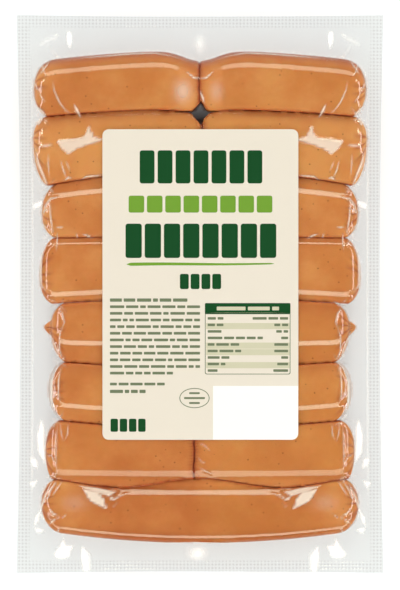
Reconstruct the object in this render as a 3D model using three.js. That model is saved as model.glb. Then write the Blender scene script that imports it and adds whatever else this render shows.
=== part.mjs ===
// A flat vacuum pack of short, plump sausages: paired rows side by side, one long sausage across
// the foot, two webs of clear film drawn tight round them and sealed in a flat rim, and a large
// paper label stuck on the face. The pack lies on its back, face up.
//
// Frame, in millimetres: origin under the middle of the pack, at the surface that it lies on;
// +X across the pack, +Y towards its top edge, +Z up, out of the labelled face.
import * as THREE from "three";

// ---- Driving dimensions ----

const PACK = { width: 188, length: 286 }; // the film, corner to corner
const SIDE_BOW = 1.9; // how far the vacuum draws each long edge in, at mid length
const END_BOW = 0.9; // the same for the two short edges
const FACE_HEIGHT = 30.2; // the crests of the face, above the surface underneath
const SEAL_HEIGHT = 14.6; // the plane in which the two webs are sealed to each other
const SEAL_THICKNESS = 0.5; // both webs of the rim, with their embossing
const RIM_DROOP = 2.4; // the rim sags this far from the contents to its edge
const RIM_WAVE = 0.7; // and waves up and down by this much
const BACK_SQUASH = 0.5; // how far the sausages would bulge through the surface underneath

const CAP_LENGTH = 13; // the rounded end of a sausage, along it
const VALLEY = 0.42; // how deep the film dips between two rows, as a share of a crest's height
const MIDDLE_DIP = 0.34; // the film sinks by this share of its height where two ends meet
const MIDDLE_REACH = 7; // and does so this far to each side of the middle line

const LABEL = { width: 99.4, length: 157.6, corner: 3.2, thickness: 0.3, x: 0.2, y: 4.8 };
const LABEL_GAP = 0.1; // the air and glue between the crests and the label

// The seams between the rows, from the top edge of the contents to the bottom edge: how far
// each lies above the middle of the pack, by how much more its ends curl up, how deep a notch
// it has where two sausages meet, how strongly it snakes, and how far out the film reaches
// where the seam runs into the rim.
const SEAMS = [
  { y: 123.6, curl: -4.2, notch: 6.5, snake: 0, end: 68 },
  { y: 93.9, curl: -3, notch: 1.2, snake: 0, end: 79.3 },
  { y: 62.6, curl: -6.4, notch: 0, snake: 0, end: 79.3 },
  { y: 29.0, curl: -0.5, notch: 0, snake: 0, end: 79 },
  { y: -2.2, curl: -2.6, notch: 0, snake: 0, end: 77 },
  { y: -37.2, curl: 2.7, notch: 0, snake: 0, end: 73 },
  { y: -68.0, curl: 3.6, notch: 0, snake: 0, end: 76 },
  { y: -96.1, curl: 0, notch: 0, snake: 2.3, end: 75 },
  { y: -127.0, curl: 5.2, notch: -0.8, snake: 0, end: 54 },
];
const CURL_SPAN = 72; // the curl is counted at this distance from the middle line
const NOTCH_SPAN = 12; // the notch is this wide to each side
const SNAKE_SPAN = 41; // half a wave of the snaking

// The rows between the seams: how far out the end of each one reaches, whether two sausages
// meet in its middle, where its crest lies between its seams (from -1 to 1), and how square its
// upper and its lower shoulder are (2 is a circle's).
const ROWS = [
  { end: 85.2, paired: true, crest: 0, upper: 2.2, lower: 3 },
  { end: 86.0, paired: true, crest: -0.2, upper: 2.2, lower: 3 },
  { end: 81.3, paired: true, crest: 0, upper: 2.2, lower: 3 },
  { end: 82.2, paired: true, crest: 0, upper: 3.2, lower: 2.8 },
  { end: 77.4, paired: true, crest: 0.1, upper: 3.2, lower: 2.2 },
  { end: 77.4, paired: true, crest: 0.1, upper: 3.2, lower: 2.2 },
  { end: 79.2, paired: true, crest: 0, upper: 3.2, lower: 2.5 },
  { end: 81.4, paired: false, crest: 0, upper: 2.5, lower: 3.2 },
];

// ---- Mesh stations ----

// Across a row, from its upper seam (1) to just above its lower seam (-1).
const ROW_STATIONS = [1, 0.93, 0.76, 0.5, 0.2, -0.2, -0.5, -0.76, -0.93];
// Through a rounded end, as shares of its length, from the rim inwards.
const CAP_STATIONS = [0.03, 0.12, 0.3, 0.6, 1];
// From the rounded end to the middle line, as distances from the middle line.
const MIDDLE_STATIONS = [48, 30, 15, MIDDLE_REACH, 3, 0];
const RIM_STATIONS = [1, 0.5]; // across the rim, from its edge to the contents
const COLUMNS = 2 * (RIM_STATIONS.length + CAP_STATIONS.length + MIDDLE_STATIONS.length);
const LINES = 2 * RIM_STATIONS.length + ROWS.length * ROW_STATIONS.length;

// ---- The form of the contents ----

// The seam's y at a distance x from the middle line.
function seamY(seam, x) {
  const curl = seam.curl * (x / CURL_SPAN) ** 2;
  const notch = seam.notch * Math.exp(-((x / NOTCH_SPAN) ** 2));
  const snake = seam.snake * Math.cos((Math.PI * x) / SNAKE_SPAN);
  return seam.y + curl - notch + snake;
}

// How far out the contents reach at t in a row: an ellipse from the seam's end out to the
// row's own end and back.
function endOfContents(line) {
  const { row, t } = line;
  if (row < 0) return SEAMS[0].end;
  if (row >= ROWS.length) return SEAMS[ROWS.length].end;
  const seam = SEAMS[t > 0 ? row : row + 1];
  return seam.end + (ROWS[row].end - seam.end) * Math.sqrt(1 - t * t);
}

// The height of a row's section at t, as a share of its crest: a superellipse on each side of
// the crest. The film spans the valley to the next row. At the first and the last seam there is
// no next row, and the film runs down to the rim.
function sectionShare(index, t) {
  const row = ROWS[index];
  const isUpper = t > row.crest;
  const squareness = isUpper ? row.upper : row.lower;
  const out = isUpper ? (t - row.crest) / (1 - row.crest) : (row.crest - t) / (1 + row.crest);
  const share = Math.max(0, 1 - out ** squareness) ** (1 / squareness);
  const isOutside = (index === 0 && isUpper) || (index === ROWS.length - 1 && !isUpper);
  return isOutside ? share : Math.max(VALLEY, share);
}

// A quarter of an ellipse, from 0 at the rim to 1 where the rounded end is full.
function capShare(distanceIn) {
  const inside = Math.min(1, Math.max(0, distanceIn / CAP_LENGTH));
  return Math.sqrt(1 - (1 - inside) ** 2);
}

// The film sinks a little between the two sausages of a pair.
function middleShare(index, x) {
  const near = Math.max(0, 1 - Math.abs(x) / MIDDLE_REACH);
  return ROWS[index].paired ? 1 - MIDDLE_DIP * near ** 2 : 1;
}

// The height of the contents at a mesh line and x, as a share of a crest's height.
function bulge(line, x) {
  if (line.row < 0 || line.row >= ROWS.length) return 0;
  const inwards = endOfContents(line) - Math.abs(x);
  return sectionShare(line.row, line.t) * capShare(inwards) * middleShare(line.row, x);
}

// ---- The rim ----

// Half the pack's width at y, and half its length at x. The edges bow in between the corners.
function halfWidth(y) {
  return PACK.width / 2 - SIDE_BOW * (1 - (y / (PACK.length / 2)) ** 2);
}

function halfLength(x) {
  return PACK.length / 2 - END_BOW * (1 - (x / (PACK.width / 2)) ** 2);
}

// The middle plane of the seal: level where it meets the contents, sagging and waving outside.
function sealZ(x, y, outwards) {
  const wave = Math.sin(x / 17 + 0.6) * Math.cos(y / 23 - 0.4);
  return SEAL_HEIGHT + (RIM_WAVE * wave - RIM_DROOP) * outwards ** 2;
}

// ---- Mesh lines and columns ----

// The mesh lines from the top edge to the bottom edge. A line lies in a row, at t, or in the
// rim above the first row or below the last, at a share of the rim's width.
function meshLines() {
  const top = RIM_STATIONS.map((share) => ({ row: -1, share }));
  const rows = ROWS.flatMap((_, row) => ROW_STATIONS.map((t) => ({ row, t })));
  const foot = { row: ROWS.length - 1, t: -1 };
  const bottom = RIM_STATIONS.map((share) => ({ row: ROWS.length, share })).reverse();
  return [...top, ...rows, foot, ...bottom];
}

// The mesh columns from the left edge to the right edge.
function meshColumns() {
  const outer = RIM_STATIONS.map((share) => ({ zone: "rim", share }));
  const cap = [0, ...CAP_STATIONS].map((share) => ({ zone: "cap", share }));
  const middle = MIDDLE_STATIONS.map((distance) => ({ zone: "middle", distance }));
  const half = [...outer, ...cap, ...middle];
  const left = half.map((column) => ({ ...column, side: -1 }));
  const right = half.slice(0, -1).map((column) => ({ ...column, side: 1 }));
  return [...left, ...right.reverse()];
}

// The y of a mesh line at a distance from the middle line. The seams run straight on past the
// curl's span, into the rim.
function lineY(line, distance) {
  const x = Math.min(distance, CURL_SPAN + NOTCH_SPAN / 2);
  if (line.row < 0) {
    const inner = seamY(SEAMS[0], x);
    return inner + (halfLength(distance) - inner) * line.share;
  }
  if (line.row >= ROWS.length) {
    const inner = seamY(SEAMS[ROWS.length], x);
    return inner + (-halfLength(distance) - inner) * line.share;
  }
  const upper = seamY(SEAMS[line.row], x);
  const lower = seamY(SEAMS[line.row + 1], x);
  return (upper + lower) / 2 + (line.t * (upper - lower)) / 2;
}

// Where a line and a column cross, and how far out in the rim that is, from 0 to 1.
function crossing(line, column) {
  const end = endOfContents(line);
  let distance = end - CAP_LENGTH * column.share;
  if (column.zone === "middle") distance = column.distance;
  if (column.zone === "rim") {
    distance = end + (halfWidth(lineY(line, end)) - end) * column.share;
  }
  const outAcross = column.zone === "rim" ? column.share : 0;
  const outAlong = line.share ?? 0;
  return {
    x: column.side * distance,
    y: lineY(line, distance),
    outwards: Math.max(outAcross, outAlong),
  };
}

// ---- The two pieces ----

// The sealed pack: a box of one cell per pair of mesh lines and columns, whose upper face is
// moved onto the face of the pack and whose lower face is moved onto its back.
function bag() {
  const geometry = new THREE.BoxGeometry(1, 1, 1, COLUMNS, LINES, 1);
  const position = geometry.getAttribute("position");
  const columns = meshColumns();
  const lines = meshLines();
  const faceRise = FACE_HEIGHT - SEAL_HEIGHT - SEAL_THICKNESS / 2;
  const backDrop = SEAL_HEIGHT + BACK_SQUASH - SEAL_THICKNESS / 2;
  for (let i = 0; i < position.count; i += 1) {
    const column = columns[Math.round((position.getX(i) + 0.5) * COLUMNS)];
    const line = lines[Math.round((0.5 - position.getY(i)) * LINES)];
    const isFace = position.getZ(i) > 0;
    const { x, y, outwards } = crossing(line, column);
    const share = bulge(line, x);
    const seal = sealZ(x, y, outwards);
    const face = seal + SEAL_THICKNESS / 2 + faceRise * share;
    const back = Math.max(0, seal - SEAL_THICKNESS / 2 - backDrop * share);
    position.setXYZ(i, x, y, isFace ? face : back);
  }
  geometry.computeVertexNormals();
  const material = new THREE.MeshStandardMaterial({
    color: 0xcf8046,
    roughness: 0.25,
    metalness: 0,
  });
  const mesh = new THREE.Mesh(geometry, material);
  mesh.name = "bag";
  return mesh;
}

// The label: a sheet of paper with rounded corners, lying on the crests.
function label() {
  const { width, length, corner, thickness } = LABEL;
  const [right, top] = [width / 2, length / 2];
  const outline = new THREE.Shape();
  outline.moveTo(-right + corner, -top);
  outline.lineTo(right - corner, -top);
  outline.absarc(right - corner, -top + corner, corner, -Math.PI / 2, 0);
  outline.absarc(right - corner, top - corner, corner, 0, Math.PI / 2);
  outline.absarc(-right + corner, top - corner, corner, Math.PI / 2, Math.PI);
  outline.absarc(-right + corner, -top + corner, corner, Math.PI, (3 * Math.PI) / 2);
  const geometry = new THREE.ExtrudeGeometry(outline, {
    depth: thickness,
    bevelEnabled: false,
    curveSegments: 6,
  });
  const material = new THREE.MeshStandardMaterial({
    color: 0xf2e8d5,
    roughness: 0.7,
    metalness: 0,
  });
  const mesh = new THREE.Mesh(geometry, material);
  mesh.name = "label";
  mesh.position.set(LABEL.x, LABEL.y, FACE_HEIGHT + LABEL_GAP);
  return mesh;
}

const pack = new THREE.Group();
pack.add(bag(), label());

export default pack;
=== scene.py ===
# %% [markdown]
# A vacuum pack of sausages, dressed for a photograph
# ===================================================
# The frame holds two solids: `bag`, the whole sealed pack with the sausages in it, and `label`.
# This script puts the real things in their place: fifteen sausages, a skin of clear film drawn
# tight over them, and a printed paper label. Lengths are written in millimetres and turned into
# Blender's metres when a mesh is made.

# %% Load the frame
import math

import bpy
import numpy as np
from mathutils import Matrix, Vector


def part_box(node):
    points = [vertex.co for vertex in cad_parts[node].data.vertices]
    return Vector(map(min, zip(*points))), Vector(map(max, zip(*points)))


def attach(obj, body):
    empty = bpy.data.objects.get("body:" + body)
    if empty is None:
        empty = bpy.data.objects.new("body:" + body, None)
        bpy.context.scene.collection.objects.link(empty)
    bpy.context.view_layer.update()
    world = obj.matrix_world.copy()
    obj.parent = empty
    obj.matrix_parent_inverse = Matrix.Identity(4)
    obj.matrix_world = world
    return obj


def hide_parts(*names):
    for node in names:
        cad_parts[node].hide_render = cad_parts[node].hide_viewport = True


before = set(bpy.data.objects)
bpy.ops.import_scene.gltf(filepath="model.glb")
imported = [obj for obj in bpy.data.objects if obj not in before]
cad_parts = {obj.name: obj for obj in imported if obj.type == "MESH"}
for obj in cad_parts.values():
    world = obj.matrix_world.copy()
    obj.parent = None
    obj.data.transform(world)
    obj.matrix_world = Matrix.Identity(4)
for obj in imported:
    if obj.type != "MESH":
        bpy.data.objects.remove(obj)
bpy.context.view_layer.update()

MM = 0.001
bag_low, bag_high = (np.array(corner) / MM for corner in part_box("bag"))
label_low, label_high = (np.array(corner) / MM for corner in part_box("label"))
print("bag", bag_low.round(1), bag_high.round(1), "label", label_low.round(1), label_high.round(1))

# %% [markdown]
# How the sausages lie
# --------------------
# Seen from above, the pack is eight rows. A seam line runs across the pack between each row and
# the next, and everything else hangs on these lines: a sausage fills the space between two of
# them, and the film dips along them. So they come first, as a function of the distance from the
# middle: a height, a curl of the ends, a notch where two sausages meet, and a snaking. Beside the
# seams stands what makes each row differ from the others. The rows could be pushed and pulled by
# hand until they look right, but numbers with names can be checked against a photograph.

# %% Seams and rows
CURL_SPAN, NOTCH_SPAN, SNAKE_SPAN = 72.0, 12.0, 41.0  # how far from the middle each one acts
STRAIGHT_PAST = 78.0  # from here outwards a seam runs straight
SEAMS = [
    dict(y=124.7, curl=-4.2, notch=5.4),
    dict(y=93.9, curl=-3.0, notch=2.0),
    dict(y=62.6, curl=-6.4),
    dict(y=29.0, curl=-0.5),
    dict(y=-2.2, curl=-2.6),
    dict(y=-37.2, curl=2.7),
    dict(y=-68.0, curl=3.6),
    dict(y=-96.1, snake=2.3),
    dict(y=-127.0, curl=5.2, notch=-0.8),
]
# What a row can say of itself:
#   end: the x of its outer ends, and split: the x where its two sausages meet
#   upper, lower: the squareness of each side, and over_up, over_low: how far it would reach
#   up_fall, low_fall: how much the face drops on the way to each side
#   steps: flat facets, as (place between the seams, width in mm, slope), which stop at reach
#   lean: how far its tips lie off the middle line, and nub: how far the tied skin stands out
#   inner: the length and squareness of an end that meets another
#   bridge: the two heights between which the film evens such ends out
#   gloss, shine: how much its film mirrors, on the whole and on the facets
#   room: how far the film stands off its outer ends
#   shade: how much painted shade darkens it along its upper and along its lower seam
ROWS = [
    dict(end=85.2, split=-0.3, upper=2.3, over_up=1.0, low_fall=0.08, inner=(1.6, 2.2), room=0.5,
         shade=(0.85, 0.0)),
    dict(end=86.0, split=1.0, up_fall=0.26, low_fall=0.10, lean=0.4, steps=[(0.05, 0.9, 0.53)],
         inner=(1.6, 2.2), room=0.9),
    dict(end=81.3, split=0.0, steps=[(0.54, 3.4, 0.56)], room=0.7),
    dict(end=82.2, split=0.4, steps=[(0.82, 1.4, 0.59), (-0.72, 3.2, -0.45)], lean=-0.15, room=0.4),
    dict(end=76.3, split=-0.5, steps=[(-0.33, 3.5, -0.45)], lean=0.2, nub=4.2, shine=1.2, room=0.6),
    dict(end=77.4, split=0.6, steps=[(-0.45, 3.1, -0.43)], room=1.8),
    dict(end=79.2, split=-3.0, steps=[(-0.65, 3.5, -0.40)], over_low=1.22, inner=(1.5, 2.2),
         bridge=(-91.0, -88.0), shine=0.1, room=0.4, shade=(0.0, 0.3)),
    dict(end=81.4, lower=6.5, over_up=1.2, over_low=1.0, steps=[(0.69, 3.5, 0.67)], reach=40.0, lean=0.15,
         room=0.6, shade=(0.1, 0.45)),
]
FLAT = 20.0  # the power of a side that stands flat against its neighbour
NO_BRIDGE = (-999.0, -998.0)  # below everything
ROW_DEFAULTS = dict(
    split=None, upper=FLAT, lower=FLAT, over_up=1.06, over_low=1.06, up_fall=0.06, low_fall=0.06,
    steps=[], lean=0.0, nub=0.5, inner=(4.0, 4.0), bridge=NO_BRIDGE, gloss=0.1, shine=1.0, room=1.0,
    reach=200.0, shade=(0.35, 0.0),
)
ROWS = [{**ROW_DEFAULTS, **row} for row in ROWS]


def bell(distance, wide):
    """A bell curve: 1 where the distance is nothing, and fading out over about twice its width."""
    return np.exp(-((distance / wide) ** 2))


def seam_y(number, x, plain=False):
    """The seam's y at x: its height, plus the curl, which grows with the square of the distance,
    less the notch, a bell curve at the middle, plus the snaking, a cosine. A plain seam has the
    curl alone."""
    seam = SEAMS[number]
    away = np.minimum(np.abs(x), STRAIGHT_PAST)
    curl = seam.get("curl", 0) * (away / CURL_SPAN) ** 2
    if plain:
        return seam["y"] + curl
    notch = seam.get("notch", 0) * bell(away, NOTCH_SPAN)
    snake = seam.get("snake", 0) * np.cos(np.pi * away / SNAKE_SPAN)
    return seam["y"] + curl - notch + snake


print("row pitch at the middle:", np.diff([seam_y(k, 0.0) for k in range(len(SEAMS))]).round(1))

# %% [markdown]
# One sausage
# -----------
# A sausage in a vacuum pack isn't round. It is pressed against its neighbours and the film, so
# its section is a squarer oval, and its ends are domes with a twisted nub of skin. It could be
# sculpted from a cylinder, but then the film would have to be fitted to it afterwards. Instead
# the section and the radius along the length are formulas, so that the same two functions give
# both the sausage's mesh and, further down, the height that the film is stretched over.

# %% Section and ends of a sausage
SEAL_Z = 14.6  # the plane in which the two webs of film are sealed
FILM_TOP = bag_high[2]
SKIN_GAP = 0.2  # from the film to the sausage under it
OUTER_CAP, OUTER_SQUARE = 11.0, 2.15
NUB_SHARE = 0.27  # the radius of the nub's foot, as a share of the sausage's
FULL_NUB, STUB_POWER = 2.0, 0.7  # a nub shorter than this is thinner too; how it tapers
SHORT_CAP = 2.0  # an end whose dome is shorter than this is pressed flat
INNER_NUB, END_GAP = 0.3, 0.06  # where two ends meet: the stub, and half the gap
CONTACT_GAP = 0.05  # between a sausage and the seam line
HOLE_X, HOLE_WIDE, HOLE_TALL = 0.2, 5.2, 6.4  # the diamond between the first four sausages
HOLE_SEAM, HOLE_POWER = 1, 1.4  # the seam that it opens, and how hollow its sides are
PRESSED = 0.88  # the radius share at an end that is pressed flat against the next sausage
EDGE_WIDE, EDGE_LOW = 1.1, 0.94  # the rounding of a side along a seam: its width, and its lowest share
END_FULLNESS = 0.5  # power of the radius share that the height follows: below 1, ends stay high
FACET_SPREAD, FACET_FADE = 5.0, 8.0  # past its reach a facet gains so many widths, over so many mm
BACK_SQUARE = 2.5
BACK_OVER = 0.8  # how far the sausage would reach below the table if it weren't flattened


def end_share(inside, cap, square, nub):
    """The radius at a distance inside the end, as a share of the full radius: a superellipse
    over the cap's length, joined to a pointed stub that stands out by nub. A short cap is
    pressed flat and starts from a share of its own."""
    dome = (1 - np.clip(1 - inside / cap, 0, 1) ** square) ** (1 / square)
    if cap < SHORT_CAP:
        return (PRESSED + (1 - PRESSED) * dome) * (inside >= 0)
    stub = NUB_SHARE * min(nub / FULL_NUB, 1) * np.clip(1 + inside / nub, 0, 1) ** STUB_POWER
    return np.sqrt(dome**2 + stub**2 * (1 - dome**2))


def sausage_list(roomy=False):
    """One entry per sausage: its row, and for its left and right end the place, the length and
    squareness of the dome, and the nub. The film stands off the outer ends by the row's room."""
    found = []
    for number, row in enumerate(ROWS):
        place = row["end"] - (0 if roomy else row["room"])
        left = dict(x=-place, cap=OUTER_CAP, square=OUTER_SQUARE, nub=row["nub"])
        right = dict(left, x=place)
        if row["split"] is None:
            found.append(dict(row=number, left=left, right=right))
            continue
        inner = dict(cap=row["inner"][0], square=row["inner"][1], nub=INNER_NUB)
        found.append(dict(row=number, left=left, right=dict(inner, x=row["split"] - END_GAP)))
        found.append(dict(row=number, left=dict(inner, x=row["split"] + END_GAP), right=right))
    return found


def wiggle(y):
    """How far the line where two sausages meet end to end wanders sideways: two sines of y."""
    return 0.16 * np.sin(y / 0.8) + 0.2 * np.sin(y / 2.6 + 1.0)


def radius_share(sausage, x, bridged=0.0):
    """The radius at x as a share of the full one: the product of what the two ends leave. Where
    it is bridged, an end inside the row leaves everything."""
    left, right = sausage["left"], sausage["right"]
    near_left = end_share(x - left["x"], left["cap"], left["square"], left["nub"])
    near_right = end_share(right["x"] - x, right["cap"], right["square"], right["nub"])
    if left["cap"] != OUTER_CAP:
        near_left = near_left + (1 - near_left) * bridged
    if right["cap"] != OUTER_CAP:
        near_right = near_right + (1 - near_right) * bridged
    within = (x >= left["x"] - left["nub"]) & (x <= right["x"] + right["nub"])
    return np.where(within, near_left * near_right, 0.0)


def row_middle(number, x):
    """The y of the row's middle line and the half distance between its two plain seams, at x.
    A seam that snakes or dips only cuts the sausage, and its crest stays straight. Only the first
    row's free edge bends the crest too."""
    upper, lower = seam_y(number, x, plain=number > 0), seam_y(number + 1, x, plain=True)
    return (upper + lower) / 2, (upper - lower) / 2


def hole_half(seam, x):
    """Half the height of the diamond-shaped hole on the second seam; nothing on the others."""
    shape = np.clip(1 - np.abs(x - HOLE_X) / HOLE_WIDE, 0, 1) ** HOLE_POWER
    return HOLE_TALL * shape * (seam == HOLE_SEAM)


def between_seams(number, x, y):
    """y held between the row's two true seams, less the contact gap and the hole."""
    low = seam_y(number + 1, x) + CONTACT_GAP + hole_half(number + 1, x)
    high = seam_y(number, x) - CONTACT_GAP - hole_half(number, x)
    return np.clip(y, low, high)


def edge_share(number, x, y):
    """The rounding where a row's flat side meets its neighbour: a quarter circle over the
    distance to the true seam, from EDGE_LOW up to 1."""
    share = 1.0
    for flat, seam in ((ROWS[number]["upper"], number), (ROWS[number]["lower"], number + 1)):
        if flat == FLAT:
            near = np.clip(1 - np.abs(y - seam_y(seam, x)) / EDGE_WIDE, 0, 1)
            share = share * (EDGE_LOW + (1 - EDGE_LOW) * np.sqrt(1 - near**2))
    return share


def step_drop(row, half, across, x):
    """How far the steps across the row lower it, in mm: each is a flat facet of a given width and
    slope that starts at a place between the seams, and turns to the top or to the foot. Past the
    row's reach the facet spreads out until it is too flat to shine."""
    drop = 0.0
    spread = 1 + FACET_SPREAD * np.clip((np.abs(x) - row["reach"]) / FACET_FADE, 0, 1)
    for place, width, slope in row["steps"]:
        past = np.sign(slope) * (across - place) * half / (width * spread) + 0.5
        drop = drop + abs(slope) * width * np.clip(past, 0, 1)
    return drop


SAUSAGES = sausage_list()
print(len(SAUSAGES), "sausages")

# %% [markdown]
# The film as a stretched skin
# ----------------------------
# Vacuum pulls the film onto the sausages and into the gaps between them until its own tension
# holds it: it lies on the crests, and spans the valleys in small round fillets. Cloth simulation
# could find that shape, but it is slow and leaves noise that glossy film would show. A height
# grid is enough, because the film never folds under itself: start on the sausages, and again and
# again replace each height by the mean of its four neighbours less a small pull, but never less
# than the sausage underneath. Where it settles, the film is free and has a constant curvature.

# %% Heights under the film
GRID_STEP = 0.4
GRID_HALF_X, GRID_HALF_Y = 96, 145
grid_x = np.arange(-GRID_HALF_X, GRID_HALF_X + GRID_STEP / 2, GRID_STEP)
grid_y = np.arange(-GRID_HALF_Y, GRID_HALF_Y + GRID_STEP / 2, GRID_STEP)
GRID_X, GRID_Y = np.meshgrid(grid_x, grid_y)


def near_middle(x):
    """1 at the pack's middle line, fading out over a centimetre."""
    return bell(x, 10)


def face_height(sausage, x, y):
    """How far the sausage stands above the seal at (x, y): a superellipse on each side of its
    crest, with a gentle fall to the side, less its steps, shrunk by the radius share towards a
    leaning tip. Each side would reach past the seam by its `over` share, and the seam cuts it."""
    row = ROWS[sausage["row"]]
    middle, half = row_middle(sausage["row"], x)
    low, high = row["bridge"]
    bridged = np.clip((high - y) / (high - low), 0, 1)
    share = radius_share(sausage, x - wiggle(y) * near_middle(x), bridged)
    across = ((y - middle) / half - row["lean"] * (1 - share)) / np.maximum(share, 1e-6)
    out_up = np.clip(across / row["over_up"], 0, 1)
    out_down = np.clip(-across / row["over_low"], 0, 1)
    upper, lower = row["upper"], row["lower"]
    section = (1 - out_up**upper) ** (1 / upper) * (1 - out_down**lower) ** (1 / lower)
    section = section * (1 - row["up_fall"] * out_up**2) * (1 - row["low_fall"] * out_down**2)
    within = y == between_seams(sausage["row"], x, y)
    full = FILM_TOP - SKIN_GAP - SEAL_Z - step_drop(row, half, across, x)
    section = section * edge_share(sausage["row"], x, y)
    return full * share**END_FULLNESS * section * within


def back_height(sausage, x, y):
    """The same below the seal: one superellipse, cut flat where it lies on the table."""
    middle, half = row_middle(sausage["row"], x)
    share = radius_share(sausage, x)
    lean = ROWS[sausage["row"]]["lean"] * (1 - share)
    across = np.clip(np.abs((y - middle) / half - lean) / np.maximum(share, 1e-6), 0, 1)
    section = (1 - across**BACK_SQUARE) ** (1 / BACK_SQUARE)
    section = section * (y == between_seams(sausage["row"], x, y))
    return np.minimum((SEAL_Z + BACK_OVER) * share**END_FULLNESS * section, SEAL_Z - SKIN_GAP)


roomy = sausage_list(roomy=True)
face_under = np.max([face_height(sausage, GRID_X, GRID_Y) for sausage in roomy], axis=0)
back_under = np.max([back_height(sausage, GRID_X, GRID_Y) for sausage in roomy], axis=0)
print("sausages", face_under.max().round(1), "mm above the seal,", back_under.max().round(1), "below")

# %% Drape the film
STEEPEST = 7.0  # 1 + slope² counts as no more than this, which bounds the pull on steep film
VALLEY_RADIUS, RIM_RADIUS = 0.5, 0.6  # of the fillets between the rows, and round the outside
WIDEN_X, WIDEN_X_OVER, WIDEN_Y, WIDEN_Y_OVER = 66, 10, 118, 6  # where one gives way to the other
FACE_ROUNDS, BACK_ROUNDS = 500, 300


def drape(under, radius, rounds):
    """The film's height over the heights under it. Each round sets the inside of the grid to the
    mean of the four neighbours less step²/(4·radius), times (1 + slope²)^1.5 so that the radius
    is a true one where the film is steep, and lifts it to what lies under it."""
    pull = (GRID_STEP**2 / (4 * radius[1:-1, 1:-1])).astype(np.float32)
    under = under.astype(np.float32)
    film = under.copy()
    for _ in range(rounds):
        north, south, west, east = film[2:, 1:-1], film[:-2, 1:-1], film[1:-1, :-2], film[1:-1, 2:]
        slope2 = ((north - south) ** 2 + (east - west) ** 2) / (2 * GRID_STEP) ** 2
        steep = np.minimum(1 + slope2, STEEPEST) ** 1.5
        film[1:-1, 1:-1] = np.maximum(under[1:-1, 1:-1], (north + south + west + east) / 4 - pull * steep)
    return film


outside = np.clip((np.abs(GRID_X) - WIDEN_X) / WIDEN_X_OVER, 0, 1)
outside = np.maximum(outside, np.clip((np.abs(GRID_Y + 2) - WIDEN_Y) / WIDEN_Y_OVER, 0, 1))
fillet_radius = VALLEY_RADIUS + (RIM_RADIUS - VALLEY_RADIUS) * outside
face_film = drape(face_under + SKIN_GAP * (face_under > 0), fillet_radius, FACE_ROUNDS)
bare_film = face_film.copy()
back_film = drape(back_under, fillet_radius, BACK_ROUNDS)
print("film over", (face_film > face_under + 0.4).mean().round(3), "of the grid is free")

# %% [markdown]
# Wrinkles
# --------
# Where the film has too much length it folds, and fine ridges run out from the necks between the
# rows and over the sausage ends. They are what makes a vacuum pack look like one. They could be
# painted into a bump texture, but then they would vanish from the mesh. Each is drawn as a ridge
# of a given width and height along a path, and added to the heights. The paths are read off the
# photograph, in its pixels, and turned to millimetres. The two halves of the pack fold alike, so
# most of them are drawn on the left and mirrored.

# %% Ridges along paths
PHOTO_MIDDLE = np.array([200.0, 294.0])  # the pixel at the frame's origin
MM_PER_PIXEL = 0.51
NARROWEST = 0.35  # a ridge's width at its ends, as a share of that in the middle


def from_photo(pixels):
    """Pixels (right, down) to millimetres (right, up) from the pack's middle."""
    return (np.array(pixels, float) - PHOTO_MIDDLE) * [MM_PER_PIXEL, -MM_PER_PIXEL]


print("photograph:", MM_PER_PIXEL, "mm to a pixel, and the pack's middle at", PHOTO_MIDDLE)


def add_ridge(heights, path, wide, high, blunt=False):
    """Adds a ridge along a path: a raised cosine of the distance from it, wide at each side and
    high in the middle, which tapers to its two ends, or only close to them if it is blunt."""
    low, top = path.min(axis=0) - wide, path.max(axis=0) + wide
    columns = slice(*np.searchsorted(grid_x, (low[0], top[0])))
    lines = slice(*np.searchsorted(grid_y, (low[1], top[1])))
    x, y = GRID_X[lines, columns], GRID_Y[lines, columns]
    lengths = np.hypot(*np.diff(path, axis=0).T)
    run, nearest, place = 0.0, np.full(x.shape, 1e9), np.zeros(x.shape)
    for start, step, length in zip(path[:-1], np.diff(path, axis=0), lengths):
        share = np.clip(((x - start[0]) * step[0] + (y - start[1]) * step[1]) / length**2, 0, 1)
        away = np.hypot(x - start[0] - share * step[0], y - start[1] - share * step[1])
        nearer = away < nearest
        nearest = np.where(nearer, away, nearest)
        place = np.where(nearer, (run + share * length) / lengths.sum(), place)
        run += length
    taper = 1 - (2 * place - 1) ** (6 if blunt else 2)
    narrow = wide * (NARROWEST + (1 - NARROWEST) * taper)
    wave = (1 + np.cos(np.pi * np.clip(nearest / narrow, 0, 1))) / 2
    heights[lines, columns] += high * taper * wave


# %% [markdown]
# Folds over the sausages
# -----------------------
# These are the bright scratches and hooks near the row ends, each one a crease in film that had
# nowhere else to go. A cloth simulation would put them in places of its own. Drawn one by one
# from the photograph, they fall where the real ones do. Only the fine fans at the necks and the
# pleats at the joints are left to chance, with a seeded generator, so that each run is the same.

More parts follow.
